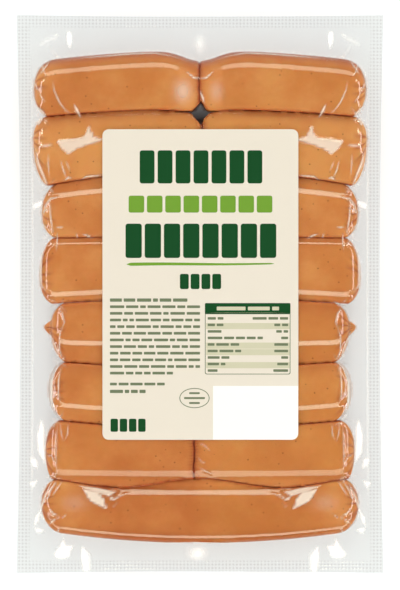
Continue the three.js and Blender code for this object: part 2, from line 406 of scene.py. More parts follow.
# %% Folds over the sausages
FOLDS_PX = {  # name: (path in the photo's pixels, half width in mm, height in mm)
    "row_1_top": ([(60, 61), (90, 57.5), (130, 54), (155, 53), (170, 56), (190, 62), (198, 65)], 1.0, 0.3),
    "row_1_curved": ([(53, 80), (55, 92), (60, 103), (66, 111), (73, 116)], 0.9, 0.40),
    "row_1_pleat_a": ([(41, 62), (44, 70), (47, 78)], 0.8, 0.35),
    "row_1_pleat_b": ([(34, 80), (40, 95)], 0.8, 0.35),
    "row_1_pleat_c": ([(39, 94), (47, 104)], 0.8, 0.3),
    "row_1_pleat_d": ([(50, 60), (47, 66), (40, 76)], 0.8, 0.35),
    "row_1_soft": ([(74, 104), (78, 112), (82, 119)], 1.6, 0.5),
    "row_1_neck": ([(36, 106), (42, 112), (47, 117)], 1.5, 0.9),
    "junction_smile": ([(186, 72), (194, 79), (201, 80)], 1.0, 0.45),
    "row_2_line": ([(31, 149), (42, 147), (58, 146)], 1.1, 0.4),
    "row_2_left_a": ([(49, 152), (49, 165), (50, 179)], 0.8, 0.3),
    "row_2_left_b": ([(61, 160), (64, 171), (68, 180)], 0.9, 0.4),
    "row_2_left_c": ([(66, 161), (71, 172)], 0.8, 0.3),
    "row_2_star": ([(65, 181), (69, 178), (73, 179)], 1.0, 0.5),
    "row_2_strip": ([(36, 150), (39, 164), (44, 176), (49, 188)], 1.5, 0.7),
    "crease_2_3": ([(80, 181), (87, 177), (104, 176)], 1.0, 0.5),
    "row_3_upright": ([(51, 198), (51, 215), (54, 237)], 0.9, 0.4),
    "row_3_spot": ([(56, 228), (65, 228)], 1.0, 0.35),
    "row_3_tick": ([(58, 232), (58, 242), (57, 252)], 0.8, 0.35),
    "row_3_foot": ([(82, 234), (88, 236), (93, 239)], 1.0, 0.45),
    "row_3_dot": ([(77, 233), (78, 239)], 0.8, 0.3),
    "row_3_pleat_a": ([(42, 214), (50, 208)], 0.8, 0.3),
    "row_3_pleat_b": ([(43, 224), (50, 231)], 0.8, 0.3),
    "row_3_turn": ([(62, 197), (51, 199), (46, 206), (44, 216)], 1.2, 0.35),
    "row_4_turn": ([(56, 244), (46, 246), (42, 256), (41, 274), (42, 287), (52, 293)], 1.4, 0.4),
    "row_5_arc": ([(57, 306), (63, 313), (65, 322), (62, 330)], 0.9, 0.35),
    "row_5_upright": ([(63, 325), (60, 338), (60, 350), (65, 363)], 0.9, 0.4),
    "row_5_outer": ([(48, 330), (54, 342), (58, 352), (60, 362)], 0.9, 0.4),
    "row_6_upright": ([(62, 366), (59, 380), (59, 394), (62, 404)], 0.9, 0.4),
    "row_6_outer": ([(57, 368), (52, 382), (52, 400), (54, 416)], 1.1, 0.5),
    "row_6_tick": ([(51, 394), (58, 393)], 0.8, 0.3),
    "row_7_upright": ([(58, 420), (57, 450), (57, 479)], 0.8, 0.3),
    "row_7_loop_a": ([(61, 424), (62, 434), (65, 441)], 0.8, 0.3),
    "row_7_loop_b": ([(69, 421), (68, 434), (65, 441)], 0.8, 0.3),
    "row_7_pleat_a": ([(46, 443), (52, 444)], 0.8, 0.3),
    "row_7_pleat_b": ([(46, 453), (53, 457), (57, 464)], 0.8, 0.3),
    "row_8_long": ([(54, 478), (47, 492), (42, 506), (36, 524)], 1.0, 0.5),
    "row_8_fan_a": ([(58, 479), (51, 490), (47, 502)], 0.9, 0.4),
    "row_8_fan_b": ([(63, 480), (57, 489), (52, 496)], 0.9, 0.4),
    "row_8_fan_c": ([(50, 480), (43, 492), (40, 500)], 0.9, 0.4),
    "row_8_chip_a": ([(49, 506), (54, 513), (61, 516)], 1.0, 0.5),
    "row_8_chip_b": ([(62, 516), (54, 519), (48, 526)], 0.8, 0.35),
    "row_8_chip_c": ([(60, 527), (57, 533)], 0.8, 0.35),
    "row_8_chip_d": ([(61, 518), (68, 513)], 0.8, 0.3),
    "row_8_chip_e": ([(113, 506), (118, 502)], 0.8, 0.3),
    "row_8_hook": ([(80, 485), (92, 488), (106, 490), (113, 499), (120, 495), (132, 491)], 1.2, 0.5),
    "row_8_flap": ([(84, 488), (94, 499), (107, 508)], 1.6, 0.8),
}
ONE_SIDED_PX = {
    "junction_drop": ([(200, 91), (202, 97), (204, 104)], 1.0, 0.45),
    "junction_drop_b": ([(201, 95), (203, 99), (205, 104)], 0.8, 0.3),
    "right_row_2_line": ([(300, 143), (330, 140), (352, 146)], 1.1, 0.4),
    "row_7_joint_a": ([(198, 442), (205, 445), (211, 451)], 0.8, 0.22),
    "row_7_joint_b": ([(197, 456), (202, 461), (207, 463)], 0.8, 0.2),
    "row_7_joint_c": ([(198, 466), (205, 470), (215, 475)], 0.9, 0.25),
}


def mirrored_folds():
    """Each fold of FOLDS_PX in millimetres, on the left and then mirrored on the right."""
    for path_px, wide, high in FOLDS_PX.values():
        path = from_photo(path_px)
        yield path, wide, high
        yield path * [-1, 1], wide, high


FOLD_SIZE = 1.25  # all the widths and heights above are times this
wrinkles = np.zeros_like(GRID_X)
for path, wide, high in mirrored_folds():
    add_ridge(wrinkles, path, FOLD_SIZE * wide, FOLD_SIZE * high)
for path_px, wide, high in ONE_SIDED_PX.values():
    add_ridge(wrinkles, from_photo(path_px), FOLD_SIZE * wide, FOLD_SIZE * high)
print(2 * len(FOLDS_PX) + len(ONE_SIDED_PX), "folds, up to", wrinkles.max().round(2), "mm high")

# %% Fans and pleats
NECK_INSET = 4.5  # from the shorter row's end to the neck that the folds fan out from
PLEAT_PITCH = 1.5
JOINTS = ((-0.3, 117.0, 97.0), (1.0, 90.0, 85.0), (-3.0, -76.0, -88.0))  # x, top and foot in view


def neck_fans(seed):
    """Fine folds that fan out from each neck between two rows: directions, lengths and sizes
    picked by a seeded generator."""
    pick = np.random.default_rng(seed)
    for number in range(1, 8):
        for side in (-1, 1):
            neck_x = min(ROWS[number - 1]["end"], ROWS[number]["end"]) - NECK_INSET
            neck = np.array([side * neck_x, seam_y(number, neck_x)])
            for turn in np.concatenate([pick.uniform(-75, 75, 4), pick.uniform(110, 250, 3)]):
                angle = math.radians(turn)
                out = np.array([side * math.cos(angle), math.sin(angle)])
                length = pick.uniform(3, 7)
                bend = np.array([-out[1], out[0]]) * pick.uniform(-0.8, 0.8)
                path = np.array([neck, neck + out * length / 2 + bend, neck + out * length])
                yield path, pick.uniform(0.8, 1.0), pick.uniform(0.2, 0.4)


def junction_pleats(seed):
    """Short pleats across the lines where two sausages meet end to end."""
    pick = np.random.default_rng(seed)
    for x, top, foot in JOINTS:
        places = np.arange(top, foot, -PLEAT_PITCH)
        for y in places + pick.uniform(-0.4, 0.4, len(places)):
            left, right = pick.uniform(0.8, 3.0, 2)
            tilt = pick.uniform(-0.6, 0.6)
            path = np.array([[x - left, y - tilt], [x, y], [x + right, y + tilt]])
            yield path, 0.7, pick.uniform(0.15, 0.3)


fans = list(neck_fans(7))
pleats = list(junction_pleats(5))
for path, wide, high in fans + pleats:
    add_ridge(wrinkles, path, wide, high)
print(len(fans), "folds in fans and", len(pleats), "pleats")

# %% [markdown]
# Whitened creases and painted glints
# -----------------------------------
# Plastic film turns white where it is creased sharply. A highlight alone would light a fold up
# from one side only, so each fold also leaves a thin white line in a second grid, which the
# film's material reads as haze. The line is partly the crease's own white and partly a painted
# glint along it.

# %% Whitened creases and painted glints
SEAL_INSET = 6.6  # from the cut edge to the inner edge of the knurled strip
SEAL_X, SEAL_Y = 93.4 - SEAL_INSET, 143 - SEAL_INSET
seal_edge = np.array([(-1, -1), (1, -1), (1, 1), (-1, 1), (-1, -1)]) * (SEAL_X, SEAL_Y)
WHITE_LINE = 0.68  # half the width of a whitened line, as a share of its fold's
WHITEST = 0.75  # no crease is whiter than this
SIDE_X, SIDE_WAIST, SIDE_Y = 86.3, 85.8, 125.0  # the faint line that runs down each side
whitened_and_glints = np.zeros_like(GRID_X)
for path, wide, high in mirrored_folds():
    add_ridge(whitened_and_glints, path, WHITE_LINE * wide, min(1.6 * high, WHITEST))
for path_px, wide, high in ONE_SIDED_PX.values():
    add_ridge(whitened_and_glints, from_photo(path_px), WHITE_LINE, min(1.5 * high, 0.7))
for path, wide, high in fans:
    add_ridge(whitened_and_glints, path, 0.5, 0.7 * high)
whitened_and_glints = np.clip(whitened_and_glints, 0, WHITEST)
for side in (-1, 1):
    line = np.array([(side * SIDE_X, SIDE_Y), (side * SIDE_WAIST, 0.0), (side * SIDE_X, -SIDE_Y)])
    add_ridge(whitened_and_glints, line, 0.55, 0.22, blunt=True)
print("whitened:", (whitened_and_glints > 0.1).mean().round(3), "of the grid")

# %% [markdown]
# Soft folds in the rim
# ---------------------
# In the rim the two webs lie on each other, and what shows are broad soft waves, and a low step
# where the sealing bar ended. They are drawn as the folds are, only wider and lower.

# %% Soft folds in the rim
RIM_FOLDS_PX = {
    "top_left_streak_a": ([(38, 44), (48, 39), (58, 35)], 1.6, 0.12),
    "top_left_streak_b": ([(48, 43), (53, 50), (60, 58)], 1.2, 0.12),
    "top_v_left": ([(190, 32), (196, 42), (200, 52)], 2.4, 0.8),
    "top_v_right": ([(208, 33), (204, 42), (200, 52)], 2.0, 0.6),
    "top_sweep": ([(100, 46), (140, 40), (180, 44)], 3.0, 0.35),
    "foot_sweep_a": ([(110, 556), (160, 552), (230, 560)], 3.0, 0.4),
    "foot_sweep_b": ([(250, 553), (320, 556)], 3.0, 0.4),
    "foot_dash": ([(40, 552), (50, 560)], 1.4, 0.4),
}
rim_folds = np.zeros_like(GRID_X)
add_ridge(rim_folds, seal_edge, 1.0, 0.16, blunt=True)
add_ridge(rim_folds, seal_edge * 0.985, 0.9, 0.10, blunt=True)
for path_px, wide, high in RIM_FOLDS_PX.values():
    add_ridge(rim_folds, from_photo(path_px), wide, high)
print(len(RIM_FOLDS_PX), "soft folds, up to", rim_folds.max().round(2), "mm high")

# %% [markdown]
# Tented film
# -----------
# Near the ends of two rows the film stands off the sausages as small flat sails, which mirror a
# soft box as one bright patch. In the rim, pockets of air are sealed in, small and bright. Both
# are drawn as a sail: a plane with a slight tilt, inside a polygon with a soft edge, and whitened,
# which paints the sail's bright patch and the pocket's glint as white haze.
# A polygon is enough, because the real ones have straight, sharp outlines too.

# %% Sails
TO_TOP, TO_FOOT, TO_SIDE = (0.2, 0.0), (-0.15, 0.0), (0.0, 0.2)  # slopes towards each soft box
# A pocket's whiteness paints its glint.
POCKET = (0.2, 0.85)  # the lift and the whiteness of a pocket in the rim
SAIL_EDGE = 0.8  # mm over which a sail's edge is soft
# A sail's whiteness paints the bright patch that it mirrors.
SAILS_PX = {  # name: (corners in pixels, slopes, lift in mm, whiteness)
    "row_2_sail": ([(57, 141), (62, 149), (69, 155), (78, 149), (92, 144), (104, 141), (94, 137),
                    (89, 127), (85, 137), (76, 140)], (0.12, 0.0), 0.9, 0.66),
    "row_8_sail": ([(83, 488), (91, 500), (107, 508), (104, 498), (99, 492)], (0.08, 0.03), 0.6, 0.72),
    "row_8_small_sail": ([(80, 485), (94, 491), (110, 495), (116, 491), (98, 487)], (0.1, 0.0), 0.5, 0.6),
}
POCKETS_PX = {
    "top_left_lens": ([(67, 31), (67, 40), (69, 47), (71, 39), (70, 31)], TO_SIDE, *POCKET),
    "left_dash": ([(33, 204), (34, 208), (42, 204), (42, 200)], TO_TOP, *POCKET),
    "left_lens": ([(41, 420), (37, 436), (38, 452), (44, 463), (43, 446), (43, 430)], TO_SIDE, *POCKET),
    "left_lozenge": ([(30, 459), (31, 464), (37, 469), (35, 461)], TO_SIDE, *POCKET),
    "left_flake_a": ([(29, 484), (32, 488), (36, 482)], TO_FOOT, *POCKET),
    "left_flake_b": ([(39, 512), (35, 519), (34, 526), (37, 522)], TO_SIDE, *POCKET),
    "left_flake_c": ([(34, 529), (37, 533), (42, 531)], TO_FOOT, *POCKET),
    "foot_patch": ([(63, 541), (60, 548), (53, 556), (60, 559), (69, 557), (69, 551), (73, 547),
                    (65, 547)], TO_FOOT, *POCKET),
    "foot_lens": ([(82, 548), (81, 558), (83, 572), (87, 572), (88, 562), (86, 554)], TO_SIDE, *POCKET),
    "streak_a": ([(38, 44), (45, 38), (58, 33), (57, 37), (49, 41), (40, 45)], TO_SIDE, 0.05, 0.2),
    "streak_b": ([(49, 42), (54, 50), (60, 58), (57, 58), (51, 52), (48, 46)], TO_SIDE, 0.05, 0.1),
    "streak_c": ([(40, 118), (37, 124), (39, 126), (44, 119)], TO_SIDE, 0.2, 0.5),
}


def inside_polygon(corners, soft):
    """1 inside a polygon and 0 outside, soft at the edge: for each grid point, whether it is
    inside (by counting edges crossed) and how far the nearest edge is."""
    inside = np.zeros(GRID_X.shape, bool)
    nearest = np.full(GRID_X.shape, 1e9)
    for a, b in zip(corners, np.roll(corners, -1, axis=0)):
        step = b - a
        share = ((GRID_X - a[0]) * step[0] + (GRID_Y - a[1]) * step[1]) / (step @ step)
        share = np.clip(share, 0, 1)
        away = np.hypot(GRID_X - a[0] - share * step[0], GRID_Y - a[1] - share * step[1])
        nearest = np.minimum(nearest, away)
        if a[1] != b[1]:
            spans = (a[1] > GRID_Y) != (b[1] > GRID_Y)
            inside ^= spans & (GRID_X < a[0] + (GRID_Y - a[1]) * step[0] / step[1])
    signed = np.where(inside, nearest, -nearest)
    return np.clip(signed / soft + 0.5, 0, 1)


def add_sail(heights, corners, slope_top, slope_side, lift):
    """Raises the film to a tilted plane over the polygon, with the plane's height taken from the
    film's own at the polygon's middle."""
    mask = inside_polygon(corners, SAIL_EDGE)
    centre = corners.mean(axis=0)
    column = np.searchsorted(grid_x, centre[0])
    line = np.searchsorted(grid_y, centre[1])
    plane = heights[line, column] + lift - slope_top * (GRID_Y - centre[1])
    plane = plane - slope_side * (GRID_X - centre[0])
    heights[:] = heights + mask * (plane - heights)
    return mask


face_film = face_film + wrinkles + rim_folds
sail_mask = np.zeros_like(GRID_X)
for corners_px, (slope_top, slope_side), lift, white in (*SAILS_PX.values(), *POCKETS_PX.values()):
    for turn in (1, -1):
        corners = from_photo(corners_px) * [turn, 1]
        mask = add_sail(face_film, corners, slope_top, -turn * slope_side, lift)
        sail_mask = np.maximum(sail_mask, mask)
        # white haze that paints the sail's bright patch or the pocket's glint
        whitened_and_glints = np.maximum(whitened_and_glints, white * mask)
print(2 * (len(SAILS_PX) + len(POCKETS_PX)), "sails over", (sail_mask > 0.5).mean().round(3), "of the grid")

# %% [markdown]
# Where the film stands free
# --------------------------
# Film with air under it mirrors with both its faces. Where it clings to the skin, melted fat
# joins the two and it mirrors less, least of all along the seams and on steep sides. A texture
# can't know where that is, so it is worked out here on the grid, as a number from -1, dull, to 1,
# free. The facets of each row get some gloss, so that they draw its long highlights.

# %% Where the film stands free
DULL = -0.8  # where fat joins film and skin, and almost nothing is mirrored
FACET_GLOSS, FOOT_GLOSS, TOP_GLOSS = 0.35, 0.25, 0.05
LOW_EDGE, HIGH_EDGE, EDGE_FADE = -0.85, 0.88, 0.1  # across a row, where its sides turn dull
JOINT_HALF, JOINT_FADE = 12, 4  # mm from the first row's joint over which its film is dull
DULL_SLOPE, SLOPE_FADE = 0.75, 0.25


def gloss_of_row(number):
    """The row's own gloss, more of it on its facets and at its free edge, and dull sides."""
    row = ROWS[number]
    middle, half = row_middle(number, GRID_X)
    across = (GRID_Y - middle) / half
    gloss = np.full_like(GRID_X, row["gloss"])
    for place, width, _ in row["steps"]:
        on_facet = np.clip(1.3 - np.abs(across - place) * half / (width / 2), 0, 1)
        gloss = np.maximum(gloss, FACET_GLOSS * row["shine"] * on_facet * (np.abs(GRID_X) < row["reach"]))
    if row["lower"] == FLAT:
        gloss += (DULL - gloss) * np.clip((LOW_EDGE - across) / EDGE_FADE, 0, 1)
    else:
        gloss += FOOT_GLOSS * np.clip((-0.6 - across) / 0.2, 0, 1)
    if row["upper"] == FLAT:
        gloss += (DULL - gloss) * np.clip((across - HIGH_EDGE) / EDGE_FADE, 0, 1)
    else:
        near_joint = np.clip((JOINT_HALF - np.abs(GRID_X)) / JOINT_FADE, 0, 1)
        gloss += TOP_GLOSS + (DULL - TOP_GLOSS - gloss) * near_joint
    return gloss


row_gloss = np.zeros_like(GRID_X)
for number in range(len(ROWS)):
    in_row = GRID_Y == between_seams(number, GRID_X, GRID_Y)
    row_gloss = np.where(in_row, gloss_of_row(number), row_gloss)
steepness = np.hypot(*np.gradient(face_film, GRID_STEP))
row_gloss += (DULL - row_gloss) * np.clip((steepness - DULL_SLOPE) / SLOPE_FADE, 0, 1)
fold_gloss = 0.5 * np.clip(wrinkles / 0.3, 0, 1)
lifted = row_gloss + np.clip(fold_gloss - row_gloss, 0, 1) * np.clip(wrinkles / 0.3, 0, 1)
lifted = np.where(face_under > 0, lifted, 0)
lifted = lifted + (np.where(face_under > 0, 0.6, 0.2) - lifted) * sail_mask
print("film that stands free:", (lifted > 0.2).mean().round(3), "of the grid")

# %% [markdown]
# Reading the height grid
# -----------------------
# The film's mesh has its own lines, close together where the film bends, so its heights are read
# between the grid's points. Straight-line reading would leave facets that show up in every
# reflection. A cubic through four points each way (Catmull-Rom) keeps the slopes smooth.

# %% Smooth reading between grid points


def cubic_weights(share):
    """Catmull-Rom weights of the four points round a place a share of the way along a step."""
    s, s2, s3 = share, share**2, share**3
    return (
        (-s3 + 2 * s2 - s) / 2,
        (3 * s3 - 5 * s2 + 2) / 2,
        (-3 * s3 + 4 * s2 + s) / 2,
        (s3 - s2) / 2,
    )


def read_grid(field, x, y):
    """The field's value at any (x, y): cubic weights along x and y over 4 by 4 grid points."""
    column = (x - grid_x[0]) / GRID_STEP
    line = (y - grid_y[0]) / GRID_STEP
    left = np.clip(np.floor(column).astype(int), 1, len(grid_x) - 3)
    low = np.clip(np.floor(line).astype(int), 1, len(grid_y) - 3)
    across, along = cubic_weights(column - left), cubic_weights(line - low)
    value = 0.0
    for j in range(4):
        for i in range(4):
            value = value + along[j] * across[i] * field[low - 1 + j, left - 1 + i]
    return value


print("film above the seal at the middle:", read_grid(face_film, np.zeros(1), np.zeros(1)).round(2))

# %% [markdown]
# From arrays to a Blender mesh
# -----------------------------
# Every piece below ends as an array of points and an array of faces. One helper turns them into
# an object at the origin, so that a pattern on Object coordinates lies still on it.

# %% Mesh helpers


def grid_quads(lines, columns, wrap=False):
    """Corner numbers of the cells between points stored line by line, anticlockwise for someone
    who sees the columns run to the right and the lines run up."""
    right = np.arange(columns if wrap else columns - 1)
    up = np.arange(lines - 1)[:, None] * columns
    here, beside = up + right, up + (right + 1) % columns
    return np.stack([here, beside, beside + columns, here + columns], -1).reshape(-1, 4)


SHARP_ANGLE = math.radians(50)


def new_piece(name, points, faces, slot):
    """Makes a smooth-shaded mesh object from points in millimetres and lists of faces."""
    mesh = bpy.data.meshes.new(name)
    corners = [face for group in faces for face in group.tolist()]
    mesh.from_pydata((points * MM).tolist(), [], corners)
    mesh.shade_smooth()
    mesh.set_sharp_from_angle(angle=SHARP_ANGLE)
    mesh.update()
    piece = bpy.data.objects.new(name, mesh)
    bpy.context.scene.collection.objects.link(piece)
    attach(piece, "root")
    triangles = sum(len(face) - 2 for face in corners)
    print(name, len(points), "points", triangles, "triangles")
    return piece


def paint(piece, name, values):
    """Stores one number per point under a name that a material can read."""
    attribute = piece.data.attributes.new(name, "FLOAT", "POINT")
    attribute.data.foreach_set("value", np.ravel(values).astype(np.float32))


# %% [markdown]
# The sausages' meshes
# --------------------
# Each one is its section carried along its length, closed at both ends by a single point. The
# skin at a tied end is gathered, so pleats run out from the nub: they are grooves in the radius,
# deepest round the nub and gone a few millimetres further in.

# %% Places, pleats, and stains and painted shade
ROUND_POINTS = 144
LENGTH_POINTS = 110
TYPICAL_RADIUS = 15  # only for spacing the points
PLEATS = 15
PLEAT_REACH = 8.0  # mm in from an outer end
PLEAT_DEPTH = 0.17  # as a share of the radius


def along_sausage(sausage):
    """Places along the length, evenly spaced on the outline, so that the domes and the nubs get
    as many as they need: the running length of the outline is turned into x."""
    left, right = sausage["left"], sausage["right"]
    low, high = left["x"] - left["nub"], right["x"] + right["nub"]
    turn = np.linspace(0, np.pi, 4000)
    x = (low + high) / 2 - (high - low) / 2 * np.cos(turn)
    radius = TYPICAL_RADIUS * radius_share(sausage, x)
    run = np.concatenate([[0], np.cumsum(np.hypot(np.diff(x), np.diff(radius)))])
    return np.interp(np.linspace(0, run[-1], LENGTH_POINTS), run, x)


def pleat_ripple(sausage, x, turn, seed):
    """Grooves of the gathered skin at the outer ends: a cosine round the section raised to a
    high power, so that it is a thin line, faded in from the full radius to the tip."""
    total = 0.0
    for side, end in ((1, sausage["left"]), (-1, sausage["right"])):
        if end["cap"] != OUTER_CAP:
            continue
        inside = side * (x - end["x"])
        fade = np.clip(1 - inside / PLEAT_REACH, 0, 1) * np.clip((inside + end["nub"]) / 1.5, 0, 1)
        wander = 1.3 * np.sin(2 * turn + seed) + 0.8 * np.sin(5 * turn + 2.1 * seed)
        total = total + fade * np.abs(np.cos(PLEATS / 2 * turn + wander)) ** 10
    return total


# The seams, the diamond and the joints are darkened partly by a real stain of dried juice and partly by
# painted shade in the creases; a row's shade adds a painted shade band along its seams.
STAIN_LINE, STAIN_HALO, PAINTED_SHADE_WIDTH = 0.45, 1.7, 4.5  # mm: how wide the stains along a seam are
HOLE_STAIN_AND_SHADE, JOINT_HALO = 0.9, 2.2  # round the diamond, and beside the line where two ends meet
JOINT_LINE, FIRST_JOINT_LINE = 0.33, 0.5  # that line itself


def stain_and_shade_lines(sausage, x, y, ripple):
    """How dark the skin is made, partly a real stain and partly painted shade. Juice dries dark red in
    the gathers, along the seams, round the diamond and where two ends are pressed together, and the
    same darkening paints the shade in those grooves and creases, with a fainter, ribbed band beside
    the joint line. A row's shade adds a painted shade band along its seams. Each mark is a bell
    curve of the distance, and the darkest counts."""
    row = sausage["row"]
    seams = [seam_y(k, x) for k in (row, row + 1) if 0 < k < len(ROWS)]
    away = np.min([np.abs(y - seam) for seam in seams], axis=0)
    stain_and_shade = 0.75 * bell(away, STAIN_LINE) + 0.25 * bell(away, STAIN_HALO)
    for share, seam in zip(ROWS[row]["shade"], (row, row + 1)):
        stain_and_shade = np.maximum(stain_and_shade, share * bell(y - seam_y(seam, x), PAINTED_SHADE_WIDTH))
    if HOLE_SEAM in (row, row + 1):
        rim = np.abs(y - seam_y(HOLE_SEAM, x)) - hole_half(HOLE_SEAM, x)
        stain_and_shade = np.maximum(stain_and_shade, 0.8 * bell(rim, HOLE_STAIN_AND_SHADE) * (np.abs(x - HOLE_X) < HOLE_WIDE))
    for end in (sausage["left"], sausage["right"]):
        if end["cap"] < SHORT_CAP:
            away = np.abs(x - end["x"])
            ribs = 0.65 + 0.3 * np.sin(4.2 * y)
            line = bell(away, JOINT_LINE if row else FIRST_JOINT_LINE)
            stain_and_shade = np.maximum(stain_and_shade, line + ribs * bell(away, JOINT_HALO))
    return np.clip(np.maximum(stain_and_shade, ripple), 0, 1)


print("a short sausage's points run from", along_sausage(SAUSAGES[0])[[0, -1]].round(1))

# %% Make the sausages
FILLING = 1.6  # how far the soft meat swells up into the film over a crease


def sausage_points(sausage, seed):
    """Points of the sausage, ring by ring. Round the section, u and v are the superellipse's
    width and height, from a radius (|cos|^n + |sin|^n)^(-1/n)."""
    row = ROWS[sausage["row"]]
    x = along_sausage(sausage)[:, None]
    turn = np.arange(ROUND_POINTS)[None, :] * (2 * np.pi / ROUND_POINTS)
    c, s = np.cos(turn), np.sin(turn)
    square = np.where(s < 0, BACK_SQUARE, np.where(c > 0, row["upper"], row["lower"]))
    radius = (np.abs(c) ** square + np.abs(s) ** square) ** (-1 / square)
    u, v = radius * c, radius * s
    ripple = pleat_ripple(sausage, x, turn, seed)
    share = radius_share(sausage, x) * (1 - PLEAT_DEPTH * ripple)
    face = np.clip((v + 0.3) / 0.6, 0, 1)
    across = u * (1 + (np.where(u > 0, row["over_up"], row["over_low"]) - 1) * face)
    middle, half = row_middle(sausage["row"], x)
    drop = step_drop(row, half, across, x)
    up = np.where(v > 0, FILM_TOP - SKIN_GAP - SEAL_Z - drop, SEAL_Z + BACK_OVER)
    v = v * (1 - np.where(u > 0, row["up_fall"], row["low_fall"]) * u**2 * (v > 0))
    y = middle + half * (share * across + row["lean"] * (1 - share))
    y = between_seams(sausage["row"], x, y)
    v = v * np.where(v > 0, edge_share(sausage["row"], x, y), 1)
    z = np.maximum(SEAL_Z + up * share**END_FULLNESS * v, SKIN_GAP)
    # stain and painted shade along the seams, the joints, the diamond and the pleat grooves
    stain_and_shade = stain_and_shade_lines(sausage, x, y, ripple)
    x = x + wiggle(y) * near_middle(x)
    room = read_grid(bare_film, x, y) - SKIN_GAP - face_height(sausage, x, y)
    near_top = np.clip((v - 0.3) / 0.4, 0, 1) * np.clip((share - 0.8) / 0.15, 0, 1)
    z = z + np.clip(room, 0, FILLING) * near_top
    return np.stack([x, y, z], -1), stain_and_shade


def make_sausage(number, sausage):
    """Joins the rings into a closed skin: the first and the last ring have no radius, so each
    is replaced by one point and a fan of triangles."""
    rings, stain_and_shade = sausage_points(sausage, number * 1.7)
    body = rings[1:-1].reshape(-1, 3)
    tips = rings[[0, -1]].mean(axis=1)
    count, last = len(body), len(body) - ROUND_POINTS
    around = np.arange(ROUND_POINTS)
    after = (around + 1) % ROUND_POINTS
    tip = np.full(ROUND_POINTS, count)
    fans = [
        np.stack([tip, around, after], -1),
        np.stack([tip + 1, last + after, last + around], -1),
    ]
    quads = grid_quads(LENGTH_POINTS - 2, ROUND_POINTS, wrap=True)[:, ::-1]
    points = np.vstack([body, tips])
    piece = new_piece(f"sausage_{number + 1:02d}", points, [quads, *fans], "sausage")
    paint(piece, "stain_and_shade", np.concatenate([stain_and_shade[1:-1].ravel(), stain_and_shade[[0, -1]].mean(axis=1)]))
    return piece


sausages = [make_sausage(number, sausage) for number, sausage in enumerate(SAUSAGES)]

# %% [markdown]
# The film's mesh
# ---------------
# The film is one closed skin: the face web, the back web and the cut edge of the rim. Its lines
# follow the seams, and crowd where the film turns sharply. The back web hardly shows, so it
# takes every second line, and a strip of triangles joins the fine edge to the coarse one.

# %% Film lines
HALF_WIDTH, HALF_LENGTH = bag_high[0], bag_high[1]
SIDE_BOW, END_BOW = 1.9, 0.9  # how far the long and the short edges bow in
BODY_HALF = 88.0  # columns are straight up to here, and follow the cut edge beyond
JOINT_FINE, CALM_HALF = 6, 58  # columns are close together up to the first, and past the second
ROW_CELLS = 36  # lines to a row, as many as a piece of under 200,000 triangles allows


def half_width(y):
    """Half the pack's width at y: the long edges bow in as a parabola."""
    return HALF_WIDTH - SIDE_BOW * (1 - (y / HALF_LENGTH) ** 2)


def half_length(x):
    """Half the pack's length at x, in the same way."""
    return HALF_LENGTH - END_BOW * (1 - (x / HALF_WIDTH) ** 2)


def column_places():
    """Columns from the middle line out, as distances, with those past BODY_HALF as 88 to 89."""
    joint = np.linspace(0, JOINT_FINE, 16, endpoint=False)
    middle = np.linspace(JOINT_FINE, CALM_HALF, 36, endpoint=False)
    ends = np.linspace(CALM_HALF, BODY_HALF, 56, endpoint=False)
    rim = np.linspace(BODY_HALF, BODY_HALF + 1, 9)
    half = np.concatenate([joint, middle, ends, rim])
    return np.concatenate([-half[:0:-1], half])


def line_places():
    """Lines from the top edge down: -1 to 0 in the top rim, 0 to 8 over the rows, 8 to 9 in the
    bottom rim. In a row they crowd towards its two seams."""
    even = np.arange(ROW_CELLS) / ROW_CELLS
    crowded = 0.45 * even + 0.55 * (1 - np.cos(np.pi * even)) / 2
    rows = (np.arange(len(ROWS))[:, None] + crowded).ravel()
    top = np.linspace(-1, 0, 22, endpoint=False)
    bottom = np.linspace(len(ROWS), len(ROWS) + 1, 21)
    return np.concatenate([top, rows, bottom])


def film_places():
    """x and y of every crossing of a line and a column."""
    columns, lines = column_places()[None, :], line_places()[:, None]
    distance, side = np.abs(columns), np.sign(columns)
    past = np.clip(distance - BODY_HALF, 0, 1)
    x = np.minimum(distance, BODY_HALF) + 0 * lines
    edges = [half_length(x), *[seam_y(k, x) for k in range(len(SEAMS))], -half_length(x)]
    stack = np.stack(edges)
    below = np.clip(np.floor(lines + 1).astype(int), 0, len(stack) - 2)
    share = lines + 1 - below
    index = np.broadcast_to(below, x.shape)
    upper = np.take_along_axis(stack, index[None], 0)[0]
    lower = np.take_along_axis(stack, index[None] + 1, 0)[0]
    y = upper + (lower - upper) * share
    x = x + (half_width(y) - BODY_HALF) * past
    return side * x, y


film_x, film_y = film_places()
print("film grid", film_x.shape, "edges", film_x.min().round(1), film_x.max().round(1))

# %% [markdown]
# The height of the rim
# ---------------------
# A real rim isn't flat: it sags towards its edge and waves a little. A modifier could bend it,
# but both webs have to bend alike, so one function gives the plane of the seal, and each web
# stands on its own side of it.

# %% Rim height
RIM_DROOP, RIM_WAVE, SEAL_HALF = 1.0, 0.7, 0.12
RIM_X, RIM_Y, RIM_MIDDLE = 79, 125, -2  # where the rim starts, and the contents' middle


def seal_z(x, y):
    """The plane of the seal: level under the contents, sagging and waving towards the edge."""
    across = np.clip((np.abs(x) - RIM_X) / (half_width(y) - RIM_X), 0, 1)
    along = np.clip((np.abs(y - RIM_MIDDLE) - RIM_Y) / (HALF_LENGTH - RIM_Y), 0, 1)
    out = (across**3 + along**3) ** (1 / 3)
    wave = np.sin(x / 17 + 0.6) * np.cos(y / 23 - 0.4)
    return SEAL_Z + (RIM_WAVE * wave - RIM_DROOP) * np.minimum(out, 1) ** 2


seal = seal_z(film_x, film_y)
print("the seal lies between", seal.min().round(1), "and", seal.max().round(1), "mm up")

